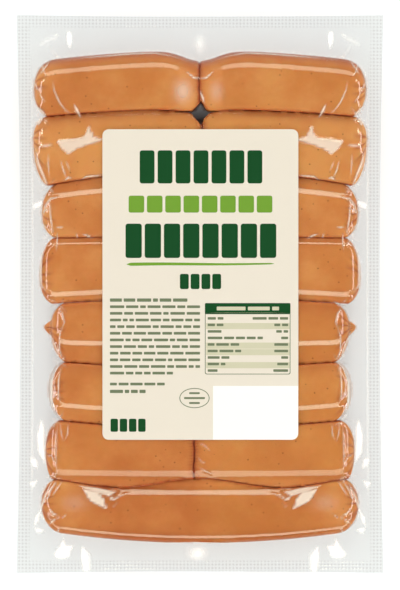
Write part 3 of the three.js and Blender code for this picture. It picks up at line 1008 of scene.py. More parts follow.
# %% [markdown]
# Joining the two webs
# --------------------
# The real film is two thin sheets. Two sheets with a Solidify modifier would do, but they would
# run into each other where they are sealed. One closed skin is simpler: the space between its two faces
# is the inside of the pack, and the material then knows from which side a ray comes.

# %% Make the film
TABLE_GAP = 0.03  # the back web stays this far above the table


def make_film():
    """Face and back grids, joined along their edges. Both edge loops run anticlockwise."""
    face_z = seal + SEAL_HALF + np.maximum(read_grid(face_film, film_x, film_y), 0)
    bx, by = film_x[::2, ::2], film_y[::2, ::2]
    back_z = seal[::2, ::2] - SEAL_HALF - np.maximum(read_grid(back_film, bx, by), 0)
    back_z = np.maximum(back_z, TABLE_GAP)
    face = np.stack([film_x, film_y, face_z], -1)
    back = np.stack([bx, by, back_z], -1)
    numbers = np.arange(face[..., 0].size).reshape(face.shape[:2])
    back_numbers = numbers.size + np.arange(back[..., 0].size).reshape(back.shape[:2])

    def loop(grid):
        """The grid's edge, anticlockwise from the top left corner: down, right, up, left."""
        return np.concatenate([grid[:-1, 0], grid[-1, :-1], grid[:0:-1, -1], grid[0, :0:-1]])

    fine, coarse = loop(numbers), loop(back_numbers)
    start, mid, end = fine[::2], fine[1::2], np.roll(fine[::2], -1)
    after = np.roll(coarse, -1)
    strip = np.concatenate([
        np.stack([start, coarse, mid], -1),
        np.stack([coarse, after, mid], -1),
        np.stack([mid, after, end], -1),
    ])
    face_quads = grid_quads(*face.shape[:2])[:, ::-1]
    back_quads = grid_quads(*back.shape[:2]) + numbers.size
    points = np.concatenate([face.reshape(-1, 3), back.reshape(-1, 3)])
    return new_piece("film", points, [face_quads, back_quads, strip], "film")


film = make_film()
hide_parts("bag")

# %% [markdown]
# What the film's material has to know
# ------------------------------------
# The same film is glossy here, dull there, knurled in the seal, and white where it is creased and
# where highlights and glints are painted on it. Textures can't know where the sausages lie, but
# the mesh does: four numbers are stored at each of its points, and the material reads them as
# attributes.

# %% Masks on the film
# Mostly soft highlights, painted on the film as spots of white haze.
SOFT_HIGHLIGHT_SPOTS = [  # x, y, half width and half height in mm, and how white
    (-1.3, -132.6, 3.6, 2.6, 0.6), (0.0, 128.0, 2.4, 3.6, 0.35),
    (-8.7, 103.0, 4.0, 5.2, 0.42), (8.2, 102.8, 3.2, 5.0, 0.24),
    (-64.0, -106.0, 6.0, 4.0, 0.14), (64.0, -106.0, 6.0, 4.0, 0.14),
]


def film_masks():
    """lift: how free the film stands. seal: the knurled strips along the edge. haze: how white it
    is, from creases and from painted highlights and glints. frost: where no meat is under it, so
    that the white isn't warmed by it, and where the haze glows a little. All are read at the
    film's own points, face first and then back."""
    lift = np.clip(read_grid(lifted, film_x, film_y), -1, 1)
    inset = np.minimum(half_width(film_y) - np.abs(film_x), HALF_LENGTH - np.abs(film_y))
    seal = np.clip((SEAL_INSET - inset) / 0.8, 0, 1) * np.clip((inset - 0.4) / 0.5, 0, 1)
    haze_and_glints = np.clip(read_grid(whitened_and_glints, film_x, film_y), 0, 1)
    for x, y, wide, tall, fog_and_glow in SOFT_HIGHLIGHT_SPOTS:
        haze_and_glints = haze_and_glints + fog_and_glow * bell(film_x - x, wide) * bell(film_y - y, tall)
    frost = np.clip(read_grid((face_under == 0).astype(float), film_x, film_y), 0, 1)
    for name, values in (("lift", lift), ("seal", seal), ("haze_and_glints", haze_and_glints), ("frost", frost)):
        paint(film, name, np.concatenate([values.ravel(), values[::2, ::2].ravel()]))
    print("lifted", (lift > 0.5).mean().round(3), "sealed", (seal > 0.5).mean().round(3))


film_masks()

# %% [markdown]
# The label
# ---------
# The label is a sheet of satin paper stuck to the crests. It spans the valleys but sinks into
# them a little. A rounded rectangle is filled with rings that shrink towards its middle, and
# every point takes its height from one function, which the print uses as well, so that ink
# always lies on paper.

# %% Patches that follow the label
LABEL_MIDDLE = (label_low + label_high) / 2
LABEL_WIDTH, LABEL_LENGTH = (label_high - label_low)[:2]
LABEL_CORNER = 3.2
PAPER_TOP = label_high[2]
SAG, SAG_SPAN = 0.25, 15.5  # how deep the paper sinks between two crests, and from how far off
LABEL_ROWS = range(1, 7)  # the rows whose crests carry the paper
FINEST_STEP = 0.8  # mm between points on a corner


def paper_z(x, y):
    """Height of the paper's face: level along the crests, sunk by SAG half way between them."""
    middles = [(seam_y(k, x) + seam_y(k + 1, x)) / 2 for k in LABEL_ROWS]
    nearest = np.min([np.abs(y - m) for m in middles], axis=0)
    sink = np.sin(np.clip(nearest / SAG_SPAN, 0, 1) * np.pi / 2) ** 4
    return PAPER_TOP - SAG * sink


print("paper at the label's middle:", paper_z(*LABEL_MIDDLE[:2]).round(2), "mm up")


def rounded_outline(width, length, corner, step):
    """Points round a rounded rectangle about the origin, anticlockwise: quarter circles joined
    by straight sides cut into steps. corner is one radius, or four from the bottom right on."""
    centres = [(1, -1, -90), (1, 1, 0), (-1, 1, 90), (-1, -1, 180)]
    parts = []
    for (side_x, side_y, start), corner in zip(centres, np.broadcast_to(corner, 4)):
        corner = min(corner, 0.499 * width, 0.499 * length)
        arc_points = max(3, int(math.ceil(corner * 1.6 / min(step, FINEST_STEP))) + 1)
        angle = np.radians(start + np.linspace(0, 90, arc_points))
        cx, cy = side_x * (width / 2 - corner), side_y * (length / 2 - corner)
        parts.append(np.stack([cx + corner * np.cos(angle), cy + corner * np.sin(angle)], -1))
    outline = []
    for k, part in enumerate(parts):
        following = parts[(k + 1) % 4][0]
        cells = max(1, int(math.ceil(np.hypot(*(following - part[-1])) / step)))
        share = np.linspace(0, 1, cells, endpoint=False)[1:, None]
        outline += [part, part[-1] + (following - part[-1]) * share]
    return np.concatenate(outline)


def slab(outline, centre, rings, above, below):
    """A thin closed slab on the paper: rings of points from the outline in to its middle, at a
    height above the paper, and the same outline below it."""
    count = len(outline)
    share = np.linspace(1, 0, rings, endpoint=False)[:, None, None]
    flat = np.concatenate([(outline * share).reshape(-1, 2), [[0, 0]]]) + centre
    foot = outline + centre
    top = np.column_stack([flat, paper_z(flat[:, 0], flat[:, 1]) + above])
    under = np.vstack([foot, centre])
    base = np.column_stack([under, paper_z(under[:, 0], under[:, 1]) - below])
    around = np.arange(count)
    after = (around + 1) % count
    hub = np.full(count, len(top) - 1)
    foot_hub = np.full(count, len(top) + count)
    quads = grid_quads(rings, count, wrap=True)
    foot_ring, foot_after = len(top) + around, len(top) + after
    walls = np.stack([foot_ring, foot_after, after, around], -1)
    inner = (rings - 1) * count
    cap = np.stack([inner + around, inner + after, hub], -1)
    sole = np.stack([foot_after, foot_ring, foot_hub], -1)
    return np.vstack([top, base]), [quads, walls], [cap, sole]


def joined(slabs):
    """Several slabs as one set of points, quads and triangles."""
    points, quads, triangles, start = [], [], [], 0
    for some, four, three in slabs:
        points.append(some)
        quads += [group + start for group in four]
        triangles += [group + start for group in three]
        start += len(some)
    return np.vstack(points), [np.vstack(group) for group in (quads, triangles) if group]


# %% Make the label
PAPER_THICKNESS, PAPER_RINGS = 0.25, 32
label_outline = rounded_outline(LABEL_WIDTH, LABEL_LENGTH, LABEL_CORNER, 2.0)
sheet = slab(label_outline, LABEL_MIDDLE[:2], PAPER_RINGS, 0.0, PAPER_THICKNESS)
label = new_piece("paper_label", *joined([sheet]), "label_paper")
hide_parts("label")

# %% [markdown]
# The print
# ---------
# The print is kept to plain shapes: rows of upright blocks, lines of short bars, a ruled table,
# an oval and an empty white field. An image on the label would be quicker, but it blurs close
# up, and a colour field that is a mesh keeps its edge at any size. Each ink is one piece, a film
# a few hundredths of a millimetre thick that takes its height from the paper. Places are counted
# in millimetres from the label's top left corner.

# %% Bars and blocks
INK_ABOVE, INK_BELOW = 0.04, 0.03  # how far the ink stands out of the paper and sinks into it
RING_SPACING = 4  # mm between a bar's rings
WORD_SHORT, WORD_LONG, WORD_GAP = 2.2, 7.5, 0.9
LAST_WORD, LINE_SLACK = 2.5, 1.2  # a rest shorter than the first joins the bar before it


def on_label(x, y):
    """Where a place that is counted from the label's top left corner lies in the frame."""
    return np.array([LABEL_MIDDLE[0] - LABEL_WIDTH / 2 + x, LABEL_MIDDLE[1] + LABEL_LENGTH / 2 - y])


def bar(left, top, right, bottom, corner=0.3, above=INK_ABOVE):
    """A rounded bar of ink between four edges."""
    width, height = right - left, bottom - top
    centre = on_label((left + right) / 2, (top + bottom) / 2)
    outline = rounded_outline(width, height, corner, 2.5)
    rings = max(2, int(math.ceil(min(width, height) / RING_SPACING)))
    return slab(outline, centre, rings, above, INK_BELOW)


def blocks(left, top, right, bottom, count, gap, corner):
    """A row of equal upright blocks, with gaps between them."""
    width = (right - left - gap * (count - 1)) / count
    starts = left + np.arange(count) * (width + gap)
    return [bar(start, top, start + width, bottom, corner) for start in starts]


def small_type(left, top, right, height, seed, fill=1.0):
    """A line of small type as short bars of uneven length with word gaps."""
    pick = np.random.default_rng(seed)
    made, at = [], left
    end = left + (right - left) * fill
    while at < end - LINE_SLACK:
        length = min(pick.uniform(WORD_SHORT, WORD_LONG), end - at)
        if end - at - length < LAST_WORD:
            length = end - at
        made.append(bar(at, top, at + length, top + height, 0.25))
        at += length + WORD_GAP
    return made


# %% Brush strokes and rings
THICK_END, THIN_END, TIP = 0.8, 0.35, 0.04  # half the thickness of a brush stroke


def brush_stroke(left, right, middle, count=40):
    """A line drawn with a brush: its half thickness falls evenly along the line and is rounded
    off at both ends, and its middle wanders by a sine."""
    share = np.linspace(0, 1, count)
    half = (THICK_END + (THIN_END - THICK_END) * share) * (1 - (2 * share - 1) ** 40) + TIP
    x = (left - right) / 2 + share * (right - left)
    y = 0.14 * np.sin(7 * share) + 0.25 * (share - 0.5)
    outline = np.concatenate([np.stack([x, y - half], -1), np.stack([x, y + half], -1)[::-1]])
    return slab(outline, on_label((left + right) / 2, middle), 2, INK_ABOVE, INK_BELOW)


def oval_outline(width, length, count=48):
    """Points round an ellipse."""
    turn = np.arange(count) * 2 * np.pi / count
    return np.stack([width / 2 * np.cos(turn), length / 2 * np.sin(turn)], -1)


def ring(left, top, right, bottom, corner, width):
    """A line of ink round a rounded rectangle, or round an oval where no corner is given: four
    loops, out and in, on the paper and above it, joined all round."""
    centre = on_label((left + right) / 2, (top + bottom) / 2)
    if corner:
        outer = rounded_outline(right - left, bottom - top, corner, 2.0)
    else:
        outer = oval_outline(right - left, bottom - top)
    size = np.array([right - left, bottom - top])
    inner = outer * (1 - 2 * width / size)
    loops = [(outer, INK_ABOVE), (inner, INK_ABOVE), (inner, -INK_BELOW), (outer, -INK_BELOW)]
    points = []
    for loop, above in loops:
        flat = loop + centre
        points.append(np.column_stack([flat, paper_z(flat[:, 0], flat[:, 1]) + above]))
    quads = grid_quads(5, len(outer), wrap=True) % (4 * len(outer))
    return np.vstack(points), [quads], []


# %% Lay out the print
TYPE_PITCH, TYPE_HEIGHT, TYPE_BOLD = 3.37, 1.35, 0.3
TEXT_LEFT, TEXT_TOP, TEXT_RIGHT, TEXT_LINES = 3.8, 86.0, 49.5, 12
LINE_FILL = {0: 0.86, 11: 0.7}  # the first and the last line are shorter than the others
TABLE_LEFT, TABLE_TOP, TABLE_RIGHT, TABLE_FOOT = 52, 92.9, 95.4, 124.4
NAME_LENGTHS = (8, 8, 7, 28, 16, 17, 11, 9, 5)
VALUE_LENGTHS = (18, 7, 6, 3.5, 7, 7, 3.5, 5.5, 7.5)
TABLE_PITCH = (TABLE_FOOT - 94.6) / len(NAME_LENGTHS)
SHADE_TOP, SHADE_PITCH = 95.0, 3.31

# Four rows of dark blocks and the table's head.
dark = blocks(18.9, 10.7, 81.1, 27.5, 7, 1.6, 1.2)
dark += blocks(11.7, 47.9, 88.2, 65.3, 8, 1.5, 1.2)
dark += blocks(39.3, 73.4, 60.2, 81.1, 4, 1.0, 0.8)
dark += blocks(4.1, 146.9, 21.9, 153.5, 4, 0.9, 0.7)
dark += [bar(TABLE_LEFT, 88.2, TABLE_RIGHT, 93.8, 0.5)]

# A row of light blocks and the underline.
light = blocks(13.3, 33.7, 86.2, 42.3, 8, 1.4, 0.9)
light += [brush_stroke(12.2, 87.2, 68.4)]

# Lines of short bars, the table's lines and frame, and the oval with three bars.
small = []
for line in range(TEXT_LINES):
    bold = TYPE_BOLD if line == 0 else 0.0
    top = TEXT_TOP + TYPE_PITCH * line - bold / 2
    small += small_type(TEXT_LEFT, top, TEXT_RIGHT, TYPE_HEIGHT + bold, 40 + line, LINE_FILL.get(line, 1.0))
small += small_type(TEXT_LEFT, 128.6, 31.6, TYPE_HEIGHT, 71)
small += small_type(TEXT_LEFT, 132.2, 21.9, TYPE_HEIGHT + TYPE_BOLD, 72)
for line, (name_length, value_length) in enumerate(zip(NAME_LENGTHS, VALUE_LENGTHS)):
    top = 95.3 + TABLE_PITCH * line
    small += small_type(53.4, top, 53.4 + name_length, 1.3, 90 + line)
    small += small_type(94.2 - value_length, top, 94.2, 1.3, 110 + line)
small += [ring(TABLE_LEFT, TABLE_TOP, TABLE_RIGHT, TABLE_FOOT, 0.8, 0.35)]
small += [ring(39.05, 131.3, 54.35, 141.5, 0, 0.4)]
small += [bar(44.0, 133.4, 49.4, 134.4), bar(41.4, 135.9, 52.0, 136.9), bar(44.0, 138.4, 49.4, 139.4)]

# The empty white field, which shares the label's bottom right corner.
white = [bar(56.1, 130.2, LABEL_WIDTH - 0.15, LABEL_LENGTH - 0.15, (LABEL_CORNER, 0.3, 0.3, 0.3))]

# The table's shaded lines, thinner than the ink on them, and the pale bars in its head.
shade = []
for line in (1, 4, 5, 7):
    top, foot = SHADE_TOP + SHADE_PITCH * line, SHADE_TOP + SHADE_PITCH * (line + 1) - 0.2
    shade += [bar(52.6, top, 95.0, foot, 0.1, 0.02)]
for left, right in ((58.0, 72.6), (73.8, 84.9), (86.1, 89.6)):
    shade += [bar(left, 90.0, right, 91.9, 0.3, 0.07)]

inks = {}
for name, slot, parts in (
    ("print_dark_green", "print_dark", dark),
    ("print_light_green", "print_light", light),
    ("print_small_type", "print_dark", small),
    ("print_white_field", "print_white", white),
    ("print_shaded_lines", "print_light", shade),
):
    inks[name] = new_piece(name, *joined(parts), slot)

# %% [markdown]
# Materials: helpers
# ------------------
# A material is a small graph of nodes. It could be drawn by hand in the shader editor, but then
# the script couldn't make it again. These helpers add a node and say what feeds it in one line,
# so that each finish below reads as a list.

# %% Node helpers


def new_material(name):
    """An empty node material with its output node."""
    material = bpy.data.materials.new(name)
    material.use_nodes = True
    material.node_tree.nodes.clear()
    output = material.node_tree.nodes.new("ShaderNodeOutputMaterial")
    return material, output


def add(tree, kind, links=(), **values):
    """Adds a node. values set its own settings, and links are (input, socket or number)."""
    node = tree.nodes.new("ShaderNode" + kind)
    for name, value in values.items():
        setattr(node, name, value)
    for name, value in links:
        if isinstance(value, bpy.types.NodeSocket):
            tree.links.new(value, node.inputs[name])
        else:
            node.inputs[name].default_value = value
    return node


def reckon(tree, kind, *numbers):
    """A Math node's result, from one or two numbers or sockets."""
    return add(tree, "Math", enumerate(numbers), operation=kind).outputs[0]


def blend(tree, share, first, second):
    """The first colour turned into the second by a share."""
    return add(tree, "Mix", [(0, share), (6, first), (7, second)], data_type="RGBA").outputs[2]


def two_tone(tree, value, first, last):
    """A colour ramp from the first colour at 0 to the last at 1."""
    node = add(tree, "ValToRGB", [("Fac", value)])
    node.color_ramp.elements[0].color = first
    node.color_ramp.elements[1].color = last
    return node.outputs["Color"]


def stored(tree, name):
    """The number that the mesh stores under a name."""
    return add(tree, "Attribute", attribute_name=name).outputs["Fac"]


def wear(piece, material):
    """Gives a piece its one material."""
    piece.data.materials.clear()
    piece.data.materials.append(material)


# %% [markdown]
# Sausage skin
# ------------
# Smoked sausage is orange-brown, lighter where it is fat and redder where it is lean, with fine
# dark specks of spice. Light goes a few millimetres into it, which the subsurface setting does.
# A photograph laid over it would carry the studio's highlights with it, so the colour is made of
# noise at three sizes: wide amber clouds, smaller lean and fat ones, and specks. The tone, and the
# stain with painted shade along seams, joints and pleats, that the meshes store come on top.

# %% Sausage material
LEAN, MEAT, FAT = (0.60, 0.195, 0.057, 1), (0.70, 0.265, 0.083, 1), (0.80, 0.37, 0.13, 1)
# The last colour is the dark red of dried juice, used also as painted shade in creases and grooves.
AMBER, SPICE, JUICE_AND_SHADE = (0.73, 0.325, 0.078, 1), (0.20, 0.055, 0.02, 1), (0.42, 0.085, 0.03, 1)


def skin_colour(tree, place):
    """Lean to fat by a cloud of noise and the row's tone, then amber, specks, and stain with painted shade
    on top.
    """
    cloud = add(tree, "TexNoise", [("Vector", place), ("Scale", 38.0), ("Detail", 5.0), ("Roughness", 0.6)])
    meat = add(tree, "ValToRGB", [("Fac", reckon(tree, "ADD", cloud.outputs["Fac"], stored(tree, "tone")))])
    ramp = meat.color_ramp
    ramp.elements[0].position, ramp.elements[0].color = 0.25, LEAN
    ramp.elements[1].position, ramp.elements[1].color = 0.75, FAT
    ramp.elements.new(0.5).color = MEAT
    wide = add(tree, "TexNoise", [("Vector", place), ("Scale", 16.0), ("Detail", 1.0)])
    amount = add(tree, "MapRange", [
        ("Value", wide.outputs["Fac"]), ("From Min", 0.45), ("From Max", 0.7), ("To Max", 0.35),
    ])
    colour = blend(tree, amount.outputs["Result"], meat.outputs["Color"], AMBER)
    speck = add(tree, "TexVoronoi", [("Vector", place), ("Scale", 215.0)])
    dot = add(tree, "MapRange", [
        ("Value", speck.outputs["Distance"]), ("From Min", 0.05), ("From Max", 0.105),
        ("To Min", 0.75), ("To Max", 0.0),
    ])
    colour = blend(tree, dot.outputs["Result"], colour, SPICE)
    return blend(tree, stored(tree, "stain_and_shade"), colour, JUICE_AND_SHADE)


def sausage_skin():
    """Smoked skin: soft inside, half dull, with a fine grain."""
    material, output = new_material("sausage_skin")
    tree = material.node_tree
    place = add(tree, "TexCoord").outputs["Object"]
    fine = add(tree, "TexNoise", [("Vector", place), ("Scale", 600.0), ("Detail", 3.0)])
    bump = add(tree, "Bump", [("Height", fine.outputs["Fac"]), ("Strength", 0.15), ("Distance", 0.0003)])
    skin = add(tree, "BsdfPrincipled", [
        ("Base Color", skin_colour(tree, place)), ("Roughness", 0.5), ("Specular IOR Level", 0.2),
        ("Subsurface Weight", 0.5), ("Subsurface Scale", 0.004), ("Normal", bump.outputs["Normal"]),
        ("Subsurface Radius", (1.0, 0.35, 0.15)),
    ])
    tree.links.new(skin.outputs["BSDF"], output.inputs["Surface"])
    return material


skin_material = sausage_skin()
ROW_TONE = (0.04, 0.20, 0.06, 0.01, -0.05, 0.02, -0.02, -0.17)  # darker below 0, paler above
PALE_X, PALE_WIDE, PALE_TONE = 68, 12, 0.3  # the long sausage is paler near its ends
for piece, sausage in zip(sausages, SAUSAGES):
    wear(piece, skin_material)
    places = np.array([point.co[0] for point in piece.data.vertices]) / MM
    paler_end = PALE_TONE * bell(np.abs(places) - PALE_X, PALE_WIDE) * (sausage["row"] == len(ROWS) - 1)
    paint(piece, "tone", ROW_TONE[sausage["row"]] + paler_end)
print("tone by row, from", min(ROW_TONE), "to", max(ROW_TONE))

# %% [markdown]
# Clear film
# ----------
# Film is far thinner than a pixel, so it bends nothing that is seen through it: glass with
# refraction would be wrong. It only mirrors, weakly face on and strongly at a slant, which is
# the Fresnel curve, and lets the rest through. Its two surfaces mirror twice as much as one, so
# the index is set higher than plastic's. Seen from inside, the Fresnel node would take the film
# for the surface of a block and shut steep light in, so its index is turned over there. On top
# of that comes a haze, a dull white that hides what is under it: the white of creases, and
# painted highlights and glints on folds, sails, pockets and soft spots. Where no meat is under
# it, the haze also glows a little, a painted glow.

# %% What the film mirrors
STUCK_INDEX, FREE_INDEX = 1.55, 2.8  # of film that clings to the skin, and of film that stands free
LEAST_INDEX = 1.15
KNURL_PITCH = 0.0018  # metres between the lines of the sealing bar's pattern
KNURL_DEPTH, WAVE_DEPTH = 0.00008, 0.0006  # metres


def knurl_height(tree, place):
    """The sealing bar's diamonds: the product of two sine waves that cross at right angles."""
    split = add(tree, "SeparateXYZ", [("Vector", place)])
    waves = []
    for kind in ("ADD", "SUBTRACT"):
        slant = reckon(tree, kind, split.outputs["X"], split.outputs["Y"])
        waves.append(reckon(tree, "SINE", reckon(tree, "MULTIPLY", slant, math.pi / KNURL_PITCH)))
    return reckon(tree, "MULTIPLY", *waves)


def film_normal(tree, place, knurl):
    """The way the film faces: a little wavy all over, and knurled in the seal."""
    creep = add(tree, "TexNoise", [("Vector", place), ("Scale", 160.0), ("Detail", 2.0)])
    wavy = add(tree, "Bump", [("Height", creep.outputs["Fac"]), ("Strength", 0.2), ("Distance", WAVE_DEPTH)])
    return add(tree, "Bump", [
        ("Height", knurl), ("Strength", 1.0), ("Distance", KNURL_DEPTH), ("Normal", wavy.outputs["Normal"]),
    ]).outputs["Normal"]


def film_mirror_share(tree, normal):
    """The Fresnel curve of an index that rises with lift, and is turned over on the inside."""
    rising = add(tree, "MapRange", [
        ("Value", stored(tree, "lift")), ("From Min", -1.0),
        ("To Min", 2 * STUCK_INDEX - FREE_INDEX), ("To Max", FREE_INDEX),
    ])
    index = reckon(tree, "MAXIMUM", rising.outputs["Result"], LEAST_INDEX)
    turned = reckon(tree, "DIVIDE", 1.0, index)
    inside = add(tree, "NewGeometry").outputs["Backfacing"]
    sided = add(tree, "Mix", [("Factor", inside), ("A", index), ("B", turned)])
    return add(tree, "Fresnel", [("IOR", sided.outputs["Result"]), ("Normal", normal)]).outputs["Fac"]


# %% What the film lets through
CLEAR, BROWNED, RIM_CLEAR = (0.955, 0.963, 0.960, 1), (0.62, 0.46, 0.36, 1), (0.950, 0.958, 0.955, 1)
PRESSED_GREY = (0.84, 0.84, 0.84, 1)
# The colours of the haze and its painted glints: warm over meat, white in the rim.
WARM_WHITE, COLD_WHITE = (1.0, 0.88, 0.77, 1), (1.0, 1.0, 1.0, 1)


def film_tint(tree, frost, knurl):
    """Clear where it is seen face on, browner at a slant over meat, neutral in the rim, and a
    little grey where the knurl is pressed in."""
    slant = add(tree, "LayerWeight", [("Blend", 0.5)]).outputs["Facing"]
    depth = add(tree, "MapRange", [("Value", slant), ("From Min", 0.5), ("From Max", 1.0)])
    over_meat = two_tone(tree, depth.outputs["Result"], CLEAR, BROWNED)
    plain = blend(tree, frost, over_meat, RIM_CLEAR)
    pressed = add(tree, "MapRange", [("Value", knurl), ("From Max", 0.6), ("To Max", 0.5)])
    return blend(tree, pressed.outputs["Result"], plain, PRESSED_GREY)


def mix_shaders(tree, share, first, second):
    """The first shader turned into the second by a share."""
    return add(tree, "MixShader", [(0, share), (1, first), (2, second)]).outputs["Shader"]


# %% Film material
def clear_film():
    """What comes through, then the mirror on it, then the haze with its painted glints and glow over both.
    """
    material, output = new_material("clear_film")
    tree = material.node_tree
    place = add(tree, "TexCoord").outputs["Object"]
    frost = stored(tree, "frost")
    knurl = reckon(tree, "MULTIPLY", knurl_height(tree, place), stored(tree, "seal"))
    normal = film_normal(tree, place, knurl)
    mirror = add(tree, "BsdfPrincipled", [
        ("Base Color", (1, 1, 1, 1)), ("Metallic", 1.0), ("Roughness", 0.1), ("Normal", normal),
    ])
    through = add(tree, "BsdfTransparent", [("Color", film_tint(tree, frost, knurl))])
    # The haze, with its painted glints; where no meat is under it, it also glows a little, a painted glow.
    fog_and_glow = add(tree, "BsdfPrincipled", [
        ("Base Color", two_tone(tree, frost, WARM_WHITE, COLD_WHITE)), ("Roughness", 0.9),
        ("Specular IOR Level", 0.0), ("Emission Color", frost), ("Emission Strength", 0.25),
    ])
    share = film_mirror_share(tree, normal)
    both = mix_shaders(tree, share, through.outputs["BSDF"], mirror.outputs["BSDF"])
    fogged = mix_shaders(tree, stored(tree, "haze_and_glints"), both, fog_and_glow.outputs["BSDF"])
    tree.links.new(fogged, output.inputs["Surface"])
    return material


wear(film, clear_film())
print("clear film has", len(film.active_material.node_tree.nodes), "nodes")

# %% [markdown]
# Paper and inks
# --------------
# Label paper is satin: smooth, with a fine grain that breaks up its sheen. The inks lie so thin
# on it that they keep the grain. The grain is made once, as a node group, and every flat finish
# takes its normal from it and differs only in colour and roughness.

# %% The paper's grain
def paper_grain():
    """A node group that gives the normal of finely grained paper."""
    group = bpy.data.node_groups.new("paper_grain", "ShaderNodeTree")
    group.interface.new_socket("Normal", in_out="OUTPUT", socket_type="NodeSocketVector")
    place = add(group, "TexCoord").outputs["Object"]
    fine = add(group, "TexNoise", [("Vector", place), ("Scale", 900.0), ("Detail", 2.0)])
    bump = add(group, "Bump", [("Height", fine.outputs["Fac"]), ("Strength", 0.1), ("Distance", 0.0001)])
    result = group.nodes.new("NodeGroupOutput")
    group.links.new(bump.outputs["Normal"], result.inputs["Normal"])
    return group


GRAIN = paper_grain()


# %% Paper and inks
def flat_finish(name, colour, roughness):
    """Paper or ink of one colour."""
    material, output = new_material(name)
    tree = material.node_tree
    grain = add(tree, "Group", node_tree=GRAIN)
    body = add(tree, "BsdfPrincipled", [
        ("Base Color", (*colour, 1)), ("Roughness", roughness), ("Specular IOR Level", 0.15),
        ("Normal", grain.outputs["Normal"]),
    ])
    tree.links.new(body.outputs["BSDF"], output.inputs["Surface"])
    return material


wear(label, flat_finish("label_paper", (0.785, 0.727, 0.66), 0.6))
INK_FINISHES = {
    "print_dark_green": ("dark_green_ink", (0.005, 0.066, 0.017), 0.6),
    "print_light_green": ("light_green_ink", (0.165, 0.34, 0.037), 0.5),
    "print_small_type": ("small_type_ink", (0.16, 0.20, 0.12), 0.5),
    "print_white_field": ("white_ink", (0.97, 0.97, 0.97), 0.6),
    "print_shaded_lines": ("pale_green_ink", (0.62, 0.60, 0.46), 0.5),
}
for name, finish in INK_FINISHES.items():
    wear(inks[name], flat_finish(*finish))
print(len(INK_FINISHES), "inks on the label")

# %% [markdown]
# The table
# ---------
# The pack lies on a white table that glows a little, like a light table, so that shadows stay
# pale and the clear rim shows up grey on it. The glow could come from a light under a sheet of
# glass, but a glowing material does the same at once. It fades far out, and it is left out under
# the sausages as a painted shadow of the pack, so that it doesn't shine up through the gaps
# between them.

# %% Floor
FLOOR_HALF = 30000.0
FLOOR_GREY, FLOOR_GLOW = (0.48, 0.5, 0.53, 1), 0.55
GLOW_NEAR, GLOW_FAR, FAR_SHARE = 0.2, 0.9, 0.3  # metres over which the glow fades to a share
# The painted shadow under the pack: half its size, and the width of its soft edge.
DARK_HALF, DARK_EDGE = {"X": 0.080, "Y": 0.120}, 0.03  # metres: where it is back, and over how far


def floor_glow(tree):
    """How much the floor glows: full round the pack, falling far out, and nothing under it, which paints the
    pack's shadow.
    """
    place = add(tree, "TexCoord").outputs["Object"]
    away = add(tree, "VectorMath", [(0, place)], operation="LENGTH").outputs["Value"]
    far = add(tree, "MapRange", [
        ("Value", away), ("From Min", GLOW_NEAR), ("From Max", GLOW_FAR),
        ("To Min", 1.0), ("To Max", FAR_SHARE),
    ], interpolation_type="SMOOTHSTEP")
    split = add(tree, "SeparateXYZ", [("Vector", place)])
    edges = []
    for axis, reach in DARK_HALF.items():
        size = reckon(tree, "ABSOLUTE", split.outputs[axis])
        edges.append(add(tree, "MapRange", [
            ("Value", size), ("From Min", reach - DARK_EDGE), ("From Max", reach),
        ]).outputs["Result"])
    return reckon(tree, "MULTIPLY", far.outputs["Result"], reckon(tree, "MAXIMUM", *edges))


def make_floor():
    """One wide square with the glowing material."""
    corners = np.array([[-1, -1, 0], [1, -1, 0], [1, 1, 0], [-1, 1, 0]]) * FLOOR_HALF
    mesh = bpy.data.meshes.new("floor")
    mesh.from_pydata((corners * MM).tolist(), [], [(0, 1, 2, 3)])
    floor = bpy.data.objects.new("floor", mesh)
    bpy.context.scene.collection.objects.link(floor)
    material, output = new_material("white_table")
    tree = material.node_tree
    body = add(tree, "BsdfPrincipled", [
        ("Base Color", FLOOR_GREY), ("Roughness", 1.0), ("Specular IOR Level", 0.0),
        ("Emission Color", floor_glow(tree)), ("Emission Strength", FLOOR_GLOW),
    ])
    tree.links.new(body.outputs["BSDF"], output.inputs["Surface"])
    wear(floor, material)


make_floor()
print("floor", round(2 * FLOOR_HALF * MM), "m wide")

# %% [markdown]
# The lights
# ----------
# Each long highlight on the pack is the mirror image of a soft box. Two long ones, past the top
# edge and past the foot, draw the lines along the sausages, two narrow ones light the row ends,
# and four small lamps put sparks on the folds. The long ones and the lamps are slightly warm, as
# the highlights in the photograph are. A last, very large box overhead lights everything evenly.

# %% Lights
WHITE, WARM = (1.0, 1.0, 1.0), (1.0, 0.97, 0.76)
BOX_DISTANCE = 900.0


def soft_box(name, slant, side, power, size, colour=WHITE, distance=BOX_DISTANCE):
    """An area light at a slant from straight up, towards +Y (side 90) or another side, which
    faces the pack. Its direction is (sin a cos b, sin a sin b, cos a) of the two angles."""
    light = bpy.data.lights.new(name, "AREA")
    light.shape = "RECTANGLE"
    light.size, light.size_y = size[0] * MM, size[1] * MM
    light.energy = power
    light.color = colour
    box = bpy.data.objects.new(name, light)
    bpy.context.scene.collection.objects.link(box)
    a, b = math.radians(slant), math.radians(side)
    towards = np.array([math.sin(a) * math.cos(b), math.sin(a) * math.sin(b), math.cos(a)])
    box.location = towards * distance * MM
    box.rotation_euler = (a, 0, b + math.pi / 2)
    return box


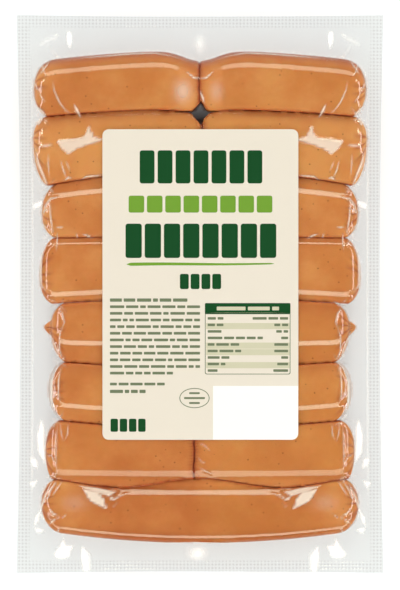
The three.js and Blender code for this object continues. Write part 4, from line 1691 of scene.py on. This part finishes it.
soft_box("soft_box_top", 60, 90, 4.1, (1500, 300), WARM)
soft_box("soft_box_foot", 50, -90, 3.9, (1500, 290), WARM)
soft_box("soft_box_left", 62, 180, 1.9, (900, 140))
soft_box("soft_box_right", 62, 0, 1.9, (900, 140))
for number, side in enumerate((35, 145, 215, 325)):
    soft_box(f"lamp_{number + 1}", 56, side, 0.35, (100, 100), WARM)
overhead = soft_box("soft_box_overhead", 0, 0, 28.5, (2600, 2600), distance=2100.0)
overhead.visible_glossy = False
print(len(bpy.data.lights), "lights,", round(sum(light.energy for light in bpy.data.lights), 1), "W")

# %% [markdown]
# The room
# --------
# Around the table the room is bright at the height of the horizon and dark overhead. The film
# mirrors what is overhead from every flat place, and a bright ceiling would turn the orange
# skin milky. That is why the overhead box is hidden from reflections too, as a polarising filter
# on a lens would do it.

# %% Room light
HORIZON, ZENITH = 0.35, 0.2  # brightness
LOW_SKY, HIGH_SKY = 0.05, 0.75  # heights of the direction between which it falls


def room_light():
    """A world whose brightness falls from HORIZON to ZENITH with the height of the direction."""
    world = bpy.data.worlds.new("studio")
    bpy.context.scene.world = world
    world.use_nodes = True
    tree = world.node_tree
    height = add(tree, "SeparateXYZ", [("Vector", add(tree, "TexCoord").outputs["Generated"])])
    level = add(tree, "MapRange", [
        ("Value", height.outputs["Z"]), ("From Min", LOW_SKY), ("From Max", HIGH_SKY),
        ("To Min", HORIZON), ("To Max", ZENITH),
    ])
    tree.links.new(level.outputs["Result"], tree.nodes["Background"].inputs["Strength"])


room_light()
print("room light from", HORIZON, "at the horizon to", ZENITH, "overhead")

# %% [markdown]
# The camera
# ----------
# The pack was photographed from straight above with a long lens, so that its two ends look the
# same size. A camera could be moved about until the picture fits. It is surer to choose the lens
# and work out how far away a millimetre takes up as many pixels as in the photograph.

# %% Camera
PHOTO_WIDTH, PHOTO_HEIGHT = 400, 590  # pixels
SENSOR, LENS = 36.0, 200.0
FOCUS_Z = 22.0  # the height at which the scale is true, half way up the sausages' shoulders
LOOK_Y = -0.5
camera_data = bpy.data.cameras.new("camera")
camera_data.sensor_width = SENSOR
camera_data.lens = LENS
camera_data.clip_start, camera_data.clip_end = 0.05, 100
camera = bpy.data.objects.new("camera", camera_data)
bpy.context.scene.collection.objects.link(camera)
distance = max(PHOTO_WIDTH, PHOTO_HEIGHT) * MM_PER_PIXEL * LENS / SENSOR
camera.location = (0, LOOK_Y * MM, (distance + FOCUS_Z) * MM)
camera.rotation_euler = (0, 0, 0)  # straight down
bpy.context.scene.camera = camera
bpy.context.scene.view_settings.view_transform = "Standard"
print("camera", round(distance + FOCUS_Z), "mm above the table")
